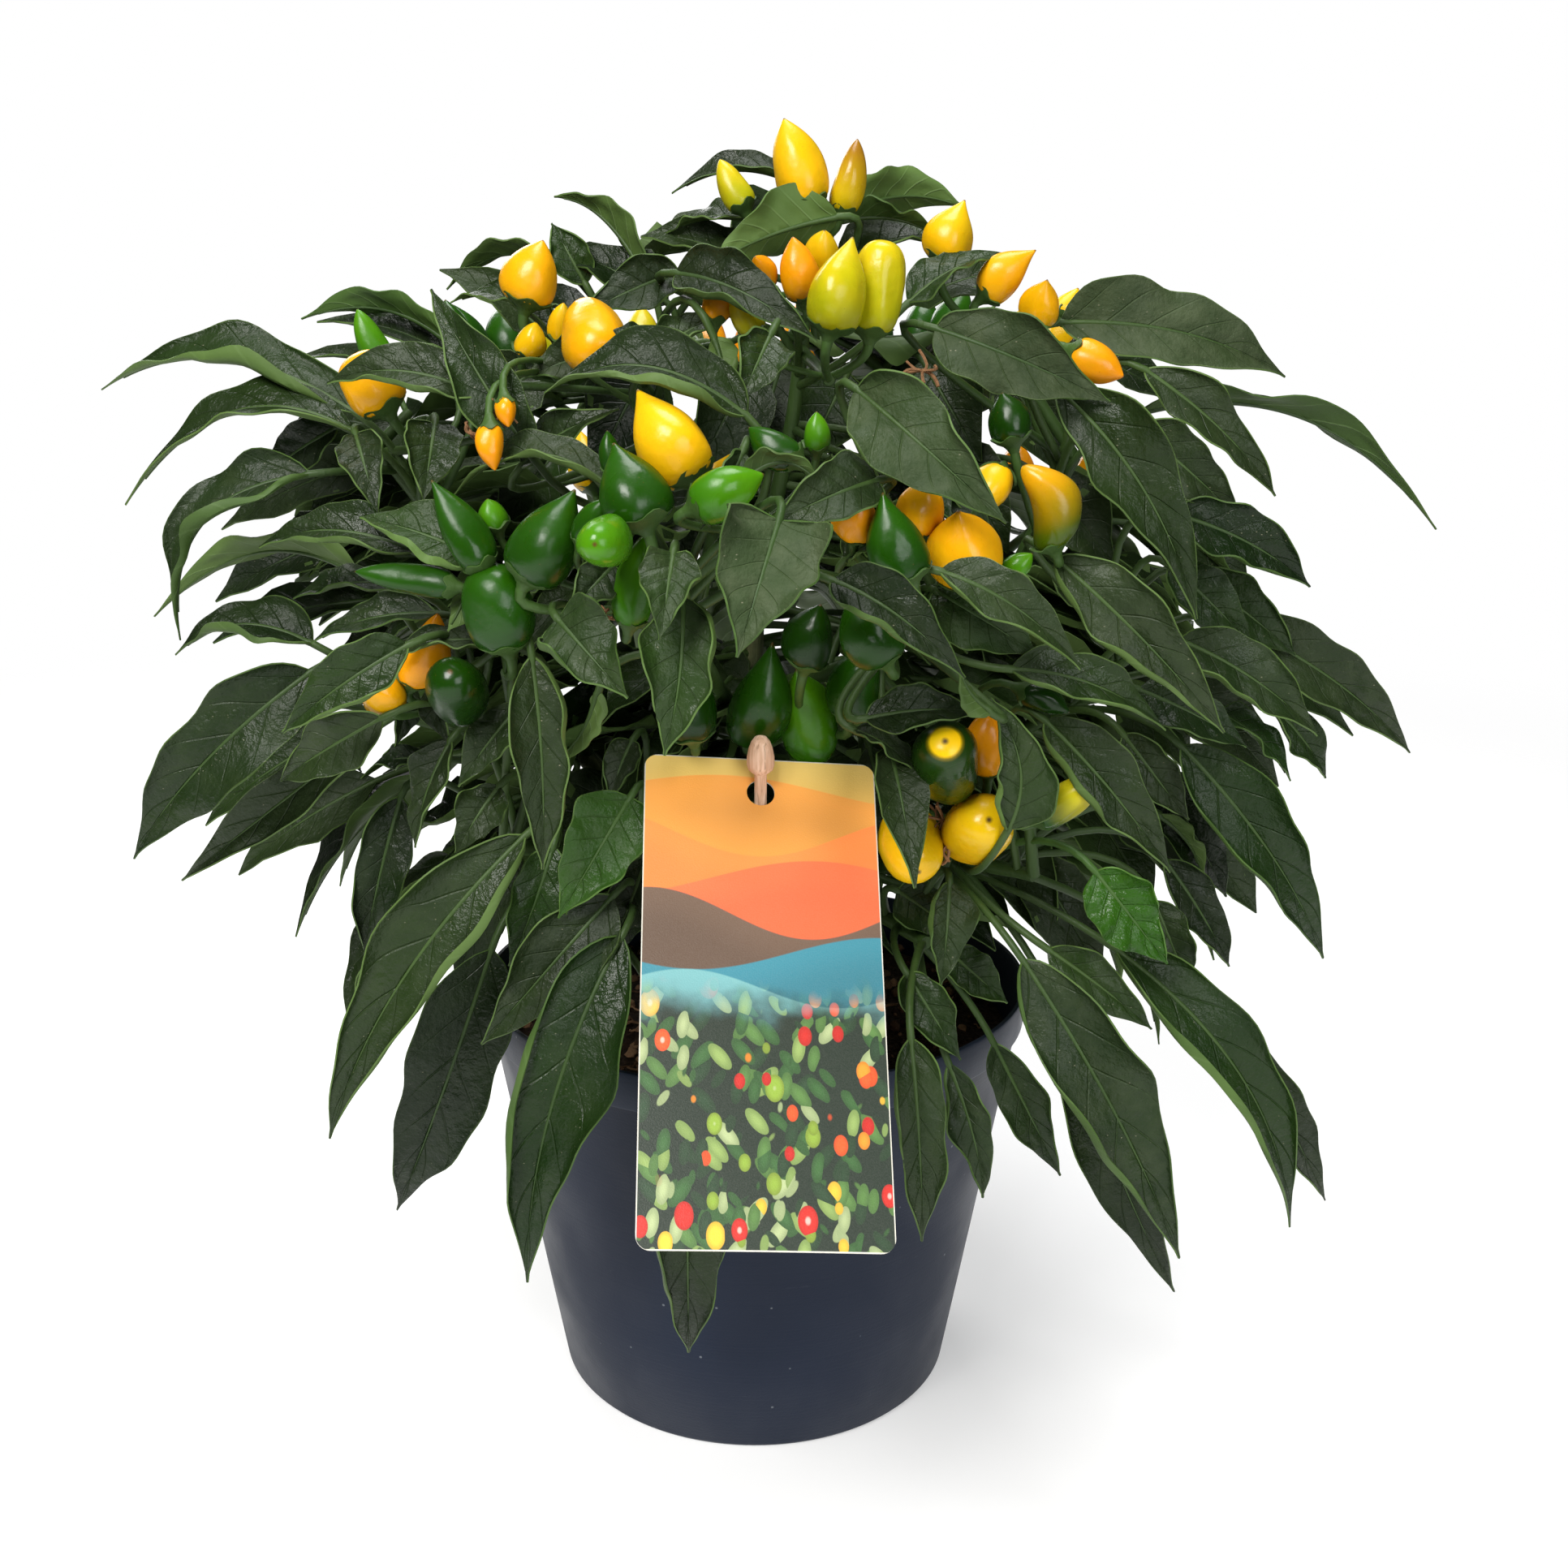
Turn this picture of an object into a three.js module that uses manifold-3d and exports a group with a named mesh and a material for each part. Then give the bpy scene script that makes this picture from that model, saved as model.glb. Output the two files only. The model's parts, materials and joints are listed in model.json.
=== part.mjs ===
// A potted chilli pepper plant, in millimetres, +Z up. The origin is the centre of the pot's underside and
// the plant's front faces -Y. The plant is a trunk with limbs, leafy stems and bunches of fruit. A plain
// label card hangs on a wooden stick that stands in the soil.
import * as THREE from "three";
import { mergeVertices } from "three/addons/utils/BufferGeometryUtils.js";
import Module from "manifold-3d";

const wasm = await Module();
wasm.setup();

const pot = { height: 145, rimRadius: 95, baseRadius: 70, wall: 2, floor: 3, bandHeight: 13, bandStep: 2.4,
  bandFlare: 0.6, bandBevel: 1, sides: 32 };
const drainHoles = { count: 8, circleRadius: 46, radius: 4.5, length: 20, sides: 8 };
const soil = { top: 128, edgeDrop: 3, lump: 2.2, gap: 0.6, sides: 32, rings: [0.28, 0.52, 0.76],
  holeLength: 70, holeSides: 12 };
const trunk = { depth: 104, holeRadius: 9.5, sides: 8, limbSides: 6 };
const stick = { foot: [1.6, -67, 74], tip: [1.7, -87, 251], radius: 4.2, neckRadius: 1.8, neckHeight: 12,
  neckFromTip: 18, taper: 2, tipLength: 3, tipShoulder: 0.6, footLength: 9, footRadius: 1.2, sides: 12 };
const card = { width: 68, height: 142.5, thickness: 1, corner: 4, holeRadius: 4.1, holeFromTop: 10.9,
  leanDegrees: 41.3, turnDegrees: 6, yawDegrees: 10 };
const leafMake = { thickness: 0.8, petioleRadius: 1.1, petioleReach: 0.25, petioleBend: 0.45, foldAngle: 0.26,
  curlAngle: 2.5, curlFrom: 0.55, arch: 0.1, wave: 0.12, waveTurns: 1.5, stations: [0.13, 0.4, 0.74],
  smallStations: [0.2, 0.6], smallLength: 42 };
const fruitMake = { stalkRadius: 1.2, mainRadius: [2, 1.7], calyxShare: 0.5, calyxDepth: 3, stalkStep: 2.4,
  firstStalk: 1, lastStalk: 0.25, shape: [[0.27, 1], [0.62, 0.84]], smallShape: [[0.4, 1]], smallRadius: 5.5 };
const twigMake = { radius: [2.8, 2], sides: 4, rootStep: 3.5, bareFoot: 14, rootDepth: 0.4 };
const evenTo = 0.08;
const clearance = 0.35;
const bladeHoleGap = 0.6;

// Colours and finishes.
const finish = (color, roughness) => new THREE.MeshStandardMaterial({ color, roughness, metalness: 0 });
const materials = {
  potPlastic: finish(0x2e3544, 0.5),
  peat: finish(0x2b1a12, 0.95),
  bark: finish(0x55602c, 0.7),
  leaf: finish(0x2c3f27, 0.55),
  wood: finish(0xcfa77b, 0.7),
  print: finish(0xe39a4e, 0.45),
  yellow: finish(0xf2b408, 0.25),
  orange: finish(0xea8a12, 0.25),
  lime: finish(0xa9b022, 0.28),
  green: finish(0x2f6b12, 0.28),
};

// Leaves and fruits are listed as they stand before a view point in front of the plant. x and z are where
// each point shows against the plant's mid-plane, and forward is how far it really lies in front of it.
const viewPoint = new THREE.Vector3(0, -560, 365);

// Limbs of the trunk: points, then the radius at the first and last point.
const limbs = {
  stump: { path: [[0, 0, 104.5], [0, 0, 128], [1, 1, 150], [0, 0, 174]], radius: [8, 5.6] },
  left: { path: [[0, 1, 160], [-40, 8, 196], [-70, 6, 236]], radius: [4.4, 3] },
  right: { path: [[0, 1, 163], [42, 8, 200], [72, 4, 240]], radius: [4.4, 3] },
  frontLeft: { path: [[0, 0, 156], [-26, -21, 190], [-47, -38, 222]], radius: [4, 2.6] },
  frontRight: { path: [[0, 0, 154], [28, -23, 189], [50, -40, 220]], radius: [4, 2.6] },
  centre: { path: [[0, 0, 168], [-2, -6, 228], [1, -12, 292]], radius: [4.6, 2.8] },
  back: { path: [[0, 1, 158], [3, 36, 202], [0, 56, 246]], radius: [4.2, 3] },
};

// A leafy stem has a path from its limb outwards, and its leaves. A leaf row holds
// x, z, forward of its base, x, z, forward of its tip, its width, its roll in degrees, the sideways bow of
// its midrib in x and z, and how far its clockwise and anticlockwise margins curl over.
const frontStems = {
  left_upper: {
    path: [[-58, 7, 221], [-77, -14, 268], [-98, -38, 308], [-112, -50, 330]],
    leaves: [
      [-130, 338, 55, -211, 345, 30, 28, -62, 0, 5, 0, 0.8],
      [-131, 332, 64, -207, 308, 48, 22, -64, 3, 11, 0, 0.3],
      [-96, 358, 30, -145, 367, 15, 18, -112, 0, 3],
      [-88, 343, 88, -138, 347, 80, 20, -32, 0, 3, 0, 0.7],
      [-130, 331, 72, -124, 305, 88, 16, 0],
      [-104, 334, 76, -109, 309, 94, 20, 0],
      [-136, 333, 52, -160, 317, 42, 16, -20],
      [-146, 318, 72, -193, 263, 70, 27, -58, -8, 8, 0, 0.9],
    ],
  },
  left_middle: {
    path: [[-48, 8, 204], [-76, -28, 230], [-106, -62, 256]],
    leaves: [
      [-113, 293, 92, -164, 294, 80, 19, -35, 0, 3, 0, 0.8],
      [-131, 285, 62, -201, 271, 40, 20, -116, 0, 7],
      [-149, 262, 72, -195, 258, 66, 22, -45, 0, 5, 0, 0.8],
      [-118, 281, 70, -154, 277, 60, 14, -55],
      [-107, 272, 84, -149, 262, 78, 16, -50],
      [-117, 261, 104, -161, 231, 104, 22, 0, 0, 2, 0, 0.8],
      [-86, 262, 94, -122, 258, 94, 17, -55],
      [-150, 252, 76, -216, 186, 70, 31, -8, -2, 3],
      [-127, 234, 62, -200, 178, 48, 19, -15, 0, -3],
      [-127, 236, 88, -163, 214, 78, 21, -10],
      [-146, 234, 46, -135, 217, 50, 12, 20],
      [-113, 222, 70, -130, 220, 66, 10, -30],
      [-88, 289, 102, -130, 304, 94, 26, -20, 0, 0, 0, 1],
      [-93, 288, 101, -103, 266, 109, 15, 150],
      [-118, 248, 66, -123, 226, 72, 12, 30],
      [-109, 247, 70, -104, 227, 78, 12, -25],
    ],
  },
  left_lower: {
    path: [[-26, -21, 190], [-56, -50, 206], [-78, -72, 212]],
    leaves: [
      [-80, 194, 94, -155, 79, 92, 34, -8, -4, 6, 0, 0.9],
      [-93, 152, 70, -132, 50, 60, 34, 5],
      [-70, 190, 88, -87, 146, 90, 21, 10],
      [-88, 212, 86, -104, 188, 92, 17, -15],
      [-104, 228, 80, -118, 190, 84, 16, -35],
      [-122, 208, 62, -138, 150, 62, 20, -10],
      [-80, 240, 92, -102, 212, 96, 16, -15],
      [-75, 257, 114, -74, 182, 110, 24, 12, 0, 0, 0, 0.9],
      [-68, 132, 78, -86, 94, 86, 15, 20],
    ],
  },
  front_left_low: {
    path: [[-13, -10, 173], [-34, -46, 187], [-47, -72, 188]],
    leaves: [
      [-47, 157, 98, -85, 20, 106, 41, -5, -6, 4, 0.8, 0],
      [-50, 172, 91, -98, 116, 97, 28, 0],
      [-43, 208, 86, -69, 164, 99, 29, 0],
      [-42, 228, 62, -50, 206, 74, 14, -20],
      [-38, 186, 74, -55, 145, 84, 18, 15],
      [-25, 88, 114, -25, -10, 96, 31, 0, 0, 0, 0.7, 0],
    ],
  },
  front_centre: {
    path: [[-1, -6, 232], [-10, -55, 256], [-18, -100, 282], [-24, -116, 296]],
    leaves: [
      [8, 303, 150, -6, 257, 166, 42, 0, 0, 0, 0.3, 0.3],
      [-27, 292, 138, -32, 263, 152, 21, 0],
      [-24, 277, 134, -31, 223, 142, 30, 0, 2, 0, 0, 0.7],
      [-66, 270, 128, -43, 243, 142, 29, 0, 0, 0, 0.7, 0],
      [-47, 288, 122, -62, 273, 128, 16, 0],
      [-53, 245, 104, -68, 220, 108, 15, 112],
      [-45, 312, 109, -99, 311, 90, 18, -62, 0, 8, 0, 0.6],
      [-4, 325, 118, -18, 300, 128, 14, 20],
      [-3, 317, 124, 22, 315, 128, 14, 110, 0, 4],
      [40, 316, 122, 6, 302, 134, 24, -15],
      [-3, 337, 112, -68, 344, 104, 27, -35, 0, 8, 0, 1.1],
    ],
  },
  front_right: {
    path: [[0, -8, 248], [24, -52, 262], [44, -92, 282], [50, -104, 296]],
    leaves: [
      [33, 345, 112, 83, 302, 132, 31, 5],
      [62, 286, 128, 110, 253, 128, 20, 20, 0, 3, 0.6, 0],
      [26, 283, 138, 71, 250, 146, 23, 12, 0, 3, 0.8, 0],
      [30, 290, 112, 50, 300, 118, 14, 45],
      [60, 280, 104, 95, 258, 108, 26, 5],
      [38, 236, 112, 78, 238, 110, 18, 30],
      [80, 238, 118, 69, 252, 122, 12, 115],
      [34, 232, 100, 55, 217, 104, 14, 60],
      [87, 253, 112, 140, 232, 108, 20, 25, 0, 3, 0.7, 0],
    ],
  },
  right_upper: {
    path: [[60, 6, 223], [80, -14, 280], [98, -34, 326]],
    leaves: [
      [125, 338, 40, 225, 300, 30, 22, 108, 1, 7],
      [126, 351, 62, 171, 311, 60, 18, 30],
      [98, 366, 48, 171, 349, 36, 29, 20, 0, 3],
      [58, 364, 84, 115, 341, 92, 27, 12],
      [98, 345, 84, 148, 270, 92, 28, 8, 4, 4, 0.6, 0],
      [124, 333, 66, 160, 303, 62, 20, 10],
    ],
  },
  right_middle: {
    path: [[50, 8, 208], [84, -30, 236], [116, -50, 268]],
    leaves: [
      [138, 305, 70, 185, 281, 66, 22, 15, 0, 2, 0.6, 0],
      [138, 288, 60, 168, 260, 62, 18, 10],
      [146, 285, 48, 182, 258, 44, 20, 10],
      [160, 269, 40, 224, 224, 24, 23, 12, 0, 3],
      [143, 263, 66, 192, 230, 64, 23, 15, 0, 2, 0.6, 0],
      [100, 290, 102, 160, 231, 106, 27, 5, 0, 2, 1, 0],
      [130, 246, 78, 168, 226, 78, 19, 20],
      [158, 238, 52, 184, 214, 50, 16, 60],
      [176, 240, 30, 196, 215, 26, 14, 30],
      [146, 226, 70, 201, 149, 60, 28, 8, 2, 3, 0.6, 0],
      [126, 230, 64, 150, 200, 64, 17, 0],
    ],
  },
  right_lower: {
    path: [[28, -23, 189], [60, -54, 204], [84, -76, 205]],
    leaves: [
      [99, 235, 98, 145, 181, 98, 25, 6, 0, 2, 0.9, 0],
      [140, 202, 54, 157, 179, 54, 12, 110],
      [138, 217, 44, 165, 172, 42, 22, 10],
      [119, 181, 96, 146, 147, 100, 25, 0],
      [143, 185, 58, 168, 146, 56, 17, 15],
      [140, 170, 66, 155, 137, 68, 17, 0],
      [95, 148, 104, 158, 30, 108, 37, 0, 2, 4, 0.9, 0],
      [112, 120, 86, 157, 16, 86, 24, -10],
      [128, 152, 78, 198, 43, 74, 30, 18, 6, 8, 1, 0],
      [172, 120, 60, 210, 54, 52, 18, 10],
      [104, 152, 86, 142, 122, 86, 17, 10],
      [88, 197, 108, 80, 243, 106, 24, -10, 6, 0, 0, 0.8],
    ],
  },
  front_right_low: {
    path: [[15, -12, 172], [38, -50, 185], [52, -78, 184]],
    leaves: [
      [39, 226, 54, 56, 173, 66, 14, -10],
      [86, 116, 80, 112, 64, 82, 18, 0],
      [70, 108, 96, 84, 55, 98, 17, -20, 4, 0, 0.9, 0],
      [56, 118, 108, 62, 37, 112, 22, 8, 0, 0, 0.6, 0.3],
      [54, 143, 92, 74, 110, 100, 18, 0],
      [68, 177, 84, 66, 139, 92, 19, 10, 0, 0, 0.8, 0],
      [50, 174, 70, 74, 156, 76, 20, 10],
      [68, 152, 70, 90, 132, 74, 16, 0],
    ],
  },
  top_left: {
    path: [[0, -10, 276], [-18, -18, 326], [-42, -30, 356]],
    leaves: [
      [-73, 324, 92, -103, 376, 74, 21, 10, 0, 0, 0, 0.6],
      [-63, 360, 50, -97, 372, 40, 17, -65, 0, 4],
      [-60, 382, 20, -98, 376, 5, 18, -108, 0, 4],
      [-54, 378, 30, -64, 396, 25, 14, 0],
      [-34, 379, 35, -63, 404, 25, 19, -112, -2, 4],
      [-50, 356, 66, -74, 349, 70, 16, -20],
      [-13, 361, 86, -9, 346, 94, 12, 160],
      [-31, 357, 92, -49, 361, 94, 14, -55],
      [-32, 356, 66, -9, 368, 62, 14, 40],
      [-80, 346, 64, -96, 340, 70, 13, -100],
      [-76, 321, 78, -44, 339, 86, 16, 40],
    ],
  },
  top_right: {
    path: [[1, -11, 286], [12, -18, 334], [16, -24, 376]],
    leaves: [
      [5, 362, 96, -5, 341, 108, 19, 0, 0, 0, 0.6, 0],
      [-25, 381, 72, 20, 360, 90, 22, 20, 0, 2, 0.7, 0],
      [-24, 381, 54, -57, 367, 62, 18, -20],
      [-4, 398, 30, -30, 392, 25, 15, -75],
      [19, 405, 20, -26, 405, 10, 17, -68, 0, 3],
      [26, 398, 50, -13, 384, 60, 24, -150],
      [27, 397, 36, 57, 393, 30, 18, 100],
      [29, 399, 24, 66, 401, 12, 21, 140, 0, 2],
      [49, 372, 54, 79, 387, 46, 17, 60],
    ],
  },
};

// A bunch has the colour of its fruits, the stem it hangs on, and where on it as a share of the stem's length
// if that isn't the nearest place. hub is the end of its main stalk in x, z, forward. A fruit's row holds
// x, z, forward of its stalk end, x, z, forward of its pointed end, and its diameter.
const frontBunches = {
  crown: { tone: "yellow", stem: "top_right", hub: [10, 390, 36], fruits: [
    [17, 401, 45, 9, 427, 45, 17], [27, 399, 40, 32, 421, 40, 10.5], [-3, 400, 40, -11, 415, 38, 10]] },
  top: { tone: "orange", stem: "top_right", at: 0.84, hub: [6, 376, 48], fruits: [
    [16, 373, 72, 12, 392, 76, 13], [22, 382, 62, 22, 394, 70, 11], [4, 378, 70, 0, 386, 80, 8],
    [-13, 366, 75, -11, 386, 77, 10]] },
  top_lime: { tone: "lime", stem: "top_right", hub: [24, 348, 70], fruits: [
    [24, 363, 88, 31, 392, 88, 19], [37, 362, 80, 41, 391, 80, 17.5], [0, 362, 78, -6, 378, 82, 10]] },
  top_east: { tone: "yellow", stem: "right_upper", hub: [82, 356, 50], fruits: [
    [60, 384, 40, 66, 403, 40, 16], [73, 374, 46, 89, 388, 50, 13], [91, 366, 52, 93, 379, 60, 13],
    [97, 367, 44, 111, 372, 44, 8], [102, 357, 62, 119, 349, 68, 13]] },
  top_west: { tone: "orange", stem: "top_left", hub: [-62, 345, 52], fruits: [
    [-73, 371, 58, -67, 391, 58, 18], [-53, 367, 71, -50, 355, 97, 21], [-74, 356, 60, -70, 366, 64, 10],
    [-63, 360, 58, -61, 372, 62, 8], [-86, 334, 102, -85, 319, 106, 9], [-81, 342, 100, -80, 333, 104, 7]] },
  west_yellow: { tone: "yellow", stem: "left_upper", at: 0.84, hub: [-110, 328, 60], fruits: [
    [-119, 338, 66, -129, 356, 66, 19.5]] },
  west_green: { tone: "green", stem: "left_upper", hub: [-112, 338, 44], fruits: [
    [-119, 352, 40, -127, 370, 40, 10]] },
  front_yellow: { tone: "yellow", stem: "front_centre", at: 0.78, hub: [-14, 300, 106], fruits: [
    [-20, 316, 120, -38, 345, 116, 23.5]] },
  front_green: { tone: "green", stem: "front_centre", hub: [-48, 278, 100], fruits: [
    [-36, 301, 132, -46, 328, 128, 24.5], [-46, 318, 112, -48, 332, 112, 8], [-42, 268, 121, -36, 298, 123, 14],
    [-57, 295, 124, -49, 310, 130, 11], [-47, 296, 132, -53, 295, 158, 17.5],
    [-76, 283, 118, -59, 313, 116, 23.5], [-85, 300, 104, -88, 310, 106, 10]] },
  centre_green: { tone: "green", stem: "front_centre", hub: [0, 300, 108], fruits: [
    [-20, 307, 134, 3, 318, 136, 17], [14, 322, 116, -2, 333, 114, 12], [20, 326, 112, 20, 338, 116, 9]] },
  west_low_green: { tone: "green", stem: "left_middle", at: 0.5, hub: [-84, 252, 92], fruits: [
    [-90, 287, 112, -106, 316, 110, 15.5], [-83, 260, 110, -89, 288, 112, 23.5],
    [-100, 281, 107, -133, 286, 103, 11]] },
  low_green: { tone: "green", stem: "front_centre", hub: [-24, 236, 62], fruits: [
    [-21, 229, 84, -25, 253, 88, 19.5]] },
  east_orange: { tone: "orange", stem: "front_right", at: 1, hub: [58, 284, 88], fruits: [
    [33, 298, 119, 35, 311, 127, 15], [54, 300, 106, 57, 316, 112, 16], [72, 284, 112, 67, 306, 122, 26],
    [80, 318, 98, 75, 308, 108, 14]] },
  east_green: { tone: "green", stem: "front_right", hub: [42, 262, 92], fruits: [
    [52, 284, 128, 42, 312, 130, 19], [44, 256, 118, 32, 278, 122, 20]] },
  east_bud: { tone: "green", stem: "front_right", at: 0.8, hub: [84, 264, 98], fruits: [
    [84, 284, 108, 92, 292, 112, 9]] },
  east_olive: { tone: "lime", stem: "right_upper", at: 0.45, hub: [94, 300, 84], fruits: [
    [99, 294, 107, 88, 321, 109, 17], [84, 328, 96, 80, 344, 96, 14]] },
  middle_green: { tone: "green", stem: "front_right", hub: [16, 232, 48], fruits: [
    [-2, 229, 66, 6, 262, 80, 21.5], [20, 223, 63, 14, 253, 78, 20.5], [17, 254, 90, 22, 275, 94, 17],
    [33, 236, 77, 38, 261, 83, 19]] },
  west_low_orange: { tone: "orange", stem: "left_middle", at: 0.8, hub: [-110, 240, 70], fruits: [
    [-116, 248, 82, -106, 272, 88, 15], [-124, 240, 79, -131, 252, 89, 15]] },
  west_dark: { tone: "green", stem: "left_middle", at: 0.35, hub: [-90, 234, 84], fruits: [
    [-98, 240, 90, -103, 252, 112, 20]] },
  east_low_green: { tone: "green", stem: "front_right", hub: [68, 226, 66], fruits: [
    [66, 213, 88, 65, 228, 116, 24], [90, 246, 96, 107, 238, 100, 10]] },
  east_low_yellow: { tone: "yellow", stem: "front_right_low", hub: [74, 202, 62], fruits: [
    [80, 217, 87, 80, 240, 91, 16], [52, 200, 76, 57, 181, 100, 22], [73, 193, 77, 81, 200, 105, 24]] },
  east_low_lime: { tone: "lime", stem: "right_lower", hub: [94, 208, 82], fruits: [
    [97, 200, 98, 116, 213, 102, 13]] },
};

// The back of the plant is a rule: leaves in drooping tiers on stems that climb round the back, with a
// seeded draw for their turn and curl. Angles are degrees from +X towards the back, +Y. A stem rises through
// places given as radius and height. A tier runs from its first angle round to the same place on the other
// side, and its leaves are shifted by a share of their step to stand between those of the next tier.
const rear = {
  seed: 11,
  stemAngles: [14, 52, 90, 128, 166],
  stemRise: [[36, 204], [74, 236], [84, 286], [62, 336], [34, 358]],
  tierShift: 0.12,
  wander: { turn: 0.16, lift: 7, swing: 9, roll: 30, width: 0.2 },
  tiers: [
    { count: 4, from: -4, baseRadius: 26, baseZ: 362, tipRadius: 84, tipZ: 372, width: 30 },
    { count: 7, from: -4, baseRadius: 62, baseZ: 346, tipRadius: 126, tipZ: 326, width: 32 },
    { count: 10, from: -4, baseRadius: 88, baseZ: 312, tipRadius: 150, tipZ: 272, width: 34 },
    { count: 11, from: -6, baseRadius: 102, baseZ: 268, tipRadius: 162, tipZ: 218, width: 34 },
    { count: 13, from: -20, baseRadius: 104, baseZ: 226, tipRadius: 156, tipZ: 170, width: 34 },
    { count: 11, from: -18, baseRadius: 103, baseZ: 190, tipRadius: 142, tipZ: 122, width: 33 },
  ],
};

// Bunches at the back: angle, then radius and height of the middle fruit's stalk end, and the colour.
const rearBunches = [
  [14, 98, 350, "yellow"], [52, 96, 352, "green"], [90, 98, 350, "orange"], [128, 96, 352, "lime"],
  [166, 98, 350, "green"], [33, 134, 300, "orange"], [109, 134, 300, "yellow"],
];
const rearFruit = { fan: 10, lean: 7, length: 25, diameter: 16, hubInward: 12, hubBelow: 8, stagger: 3,
  stalkStep: 0.1 };

// ---- Small helpers ----

const point = (p) => new THREE.Vector3(p[0], p[1], p[2]);

// A place given as it shows against the mid-plane, moved forward along its line of sight.
function fromView(x, z, forward) {
  const share = (-viewPoint.y - forward) / -viewPoint.y;
  return new THREE.Vector3(x * share, -forward, viewPoint.z + (z - viewPoint.z) * share);
}

// Any direction that no path here runs along, to start the cross directions of a tube from.
const anySide = new THREE.Vector3(0.31, 0.47, 0.83);

// Seeded random numbers from 0 to 1.
function seededDraw(seed) {
  let state = seed >>> 0;
  return () => {
    state = (state + 0x6d2b79f5) >>> 0;
    let t = Math.imul(state ^ (state >>> 15), state | 1);
    t = (t + Math.imul(t ^ (t >>> 7), t | 61)) ^ t;
    return ((t ^ (t >>> 14)) >>> 0) / 4294967296;
  };
}

// A closed geometry as a solid, and a solid back as a geometry.
function toSolid(geometry) {
  const bare = geometry.clone();
  for (const name of Object.keys(bare.attributes)) {
    if (name !== "position") bare.deleteAttribute(name);
  }
  const merged = mergeVertices(bare, 1e-4);
  return new wasm.Manifold(new wasm.Mesh({
    numProp: 3,
    vertProperties: new Float32Array(merged.attributes.position.array),
    triVerts: new Uint32Array(merged.index.array),
  }));
}

function toGeometry(solid) {
  const mesh = solid.getMesh();
  const geometry = new THREE.BufferGeometry();
  geometry.setAttribute("position", new THREE.BufferAttribute(mesh.vertProperties, 3));
  geometry.setIndex(new THREE.BufferAttribute(mesh.triVerts, 1));
  geometry.computeVertexNormals();
  return geometry;
}

function indexed(vertices, triangles) {
  const geometry = new THREE.BufferGeometry();
  geometry.setAttribute("position", new THREE.Float32BufferAttribute(vertices.flatMap((v) => v.toArray()), 3));
  geometry.setIndex(triangles.flat());
  return geometry;
}

// A tube through a list of points with a radius at each. It is closed at both ends, and a last radius of
// nought makes it pointed there.
function tube(points, radii, sides) {
  const vertices = [];
  const triangles = [];
  const pointed = radii.at(-1) === 0;
  const rings = pointed ? points.length - 1 : points.length;
  let side = anySide;
  points.slice(0, rings).forEach((p, i) => {
    const ahead = points[Math.min(i + 1, points.length - 1)];
    const behind = points[Math.max(i - 1, 0)];
    const along = ahead.clone().sub(behind).normalize();
    side = side.clone().addScaledVector(along, -side.dot(along)).normalize();
    const other = along.clone().cross(side);
    for (let k = 0; k < sides; k += 1) {
      const angle = (2 * Math.PI * k) / sides;
      vertices.push(p.clone().addScaledVector(side, Math.cos(angle) * radii[i])
        .addScaledVector(other, Math.sin(angle) * radii[i]));
    }
  });
  for (let i = 0; i < rings - 1; i += 1) {
    for (let k = 0; k < sides; k += 1) {
      const a = i * sides + k;
      const b = i * sides + ((k + 1) % sides);
      triangles.push([a, b, b + sides], [a, b + sides, a + sides]);
    }
  }
  const last = (rings - 1) * sides;
  for (let k = 1; k < sides - 1; k += 1) {
    triangles.push([0, k + 1, k]);
    if (!pointed) triangles.push([last, last + k, last + k + 1]);
  }
  if (pointed) {
    vertices.push(points.at(-1));
    for (let k = 0; k < sides; k += 1) {
      triangles.push([last + k, last + ((k + 1) % sides), last + sides]);
    }
  }
  return toSolid(indexed(vertices, triangles));
}

// A tube whose radius runs evenly from one end to the other.
function taperedTube(points, [first, last], sides, extra = 0) {
  const radii = points.map((p, i) => first + ((last - first) * i) / (points.length - 1) + extra);
  return tube(points, radii, sides);
}

const pathLength = (path) => path.slice(1).reduce((sum, p, i) => sum + p.distanceTo(path[i]), 0);

// How far along a path of points the place lies that is nearest to a target.
function lengthAt(path, target) {
  let best = { gap: Infinity, at: 0 };
  let passed = 0;
  for (let i = 0; i < path.length - 1; i += 1) {
    const line = new THREE.Line3(path[i], path[i + 1]);
    const p = line.closestPointToPoint(target, true, new THREE.Vector3());
    const gap = p.distanceTo(target);
    if (gap < best.gap) best = { gap, at: passed + p.distanceTo(path[i]) };
    passed += line.distance();
  }
  return best.at;
}

// The point at a length along a path of points.
function pointAlong(path, length) {
  let left = length;
  for (let i = 0; i < path.length - 1; i += 1) {
    const span = path[i].distanceTo(path[i + 1]);
    if (left <= span) return path[i].clone().lerp(path[i + 1], left / span);
    left -= span;
  }
  return path.at(-1).clone();
}

// ---- Leaves ----

// The half-width of a blade along its midrib, as a share of the widest place.
const bladeProfile = (u) => Math.sin(Math.PI * u ** 0.72) ** 0.8 * (1 - 0.3 * u ** 3);

// Where the margin of a half-blade ends up across and above the midrib, as shares of the half-width,
// once the blade is folded along its midrib and its outer part is curled over.
function marginPlace(curl) {
  const steps = 10;
  let across = 0;
  let above = 0;
  for (let i = 0; i < steps; i += 1) {
    const v = (i + 0.5) / steps;
    const outer = Math.max(0, (v - leafMake.curlFrom) / (1 - leafMake.curlFrom));
    const angle = leafMake.foldAngle + leafMake.curlAngle * curl * outer * outer * (3 - 2 * outer);
    across += Math.cos(angle) / steps;
    above += Math.sin(angle) / steps;
  }
  return [across, above];
}

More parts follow.
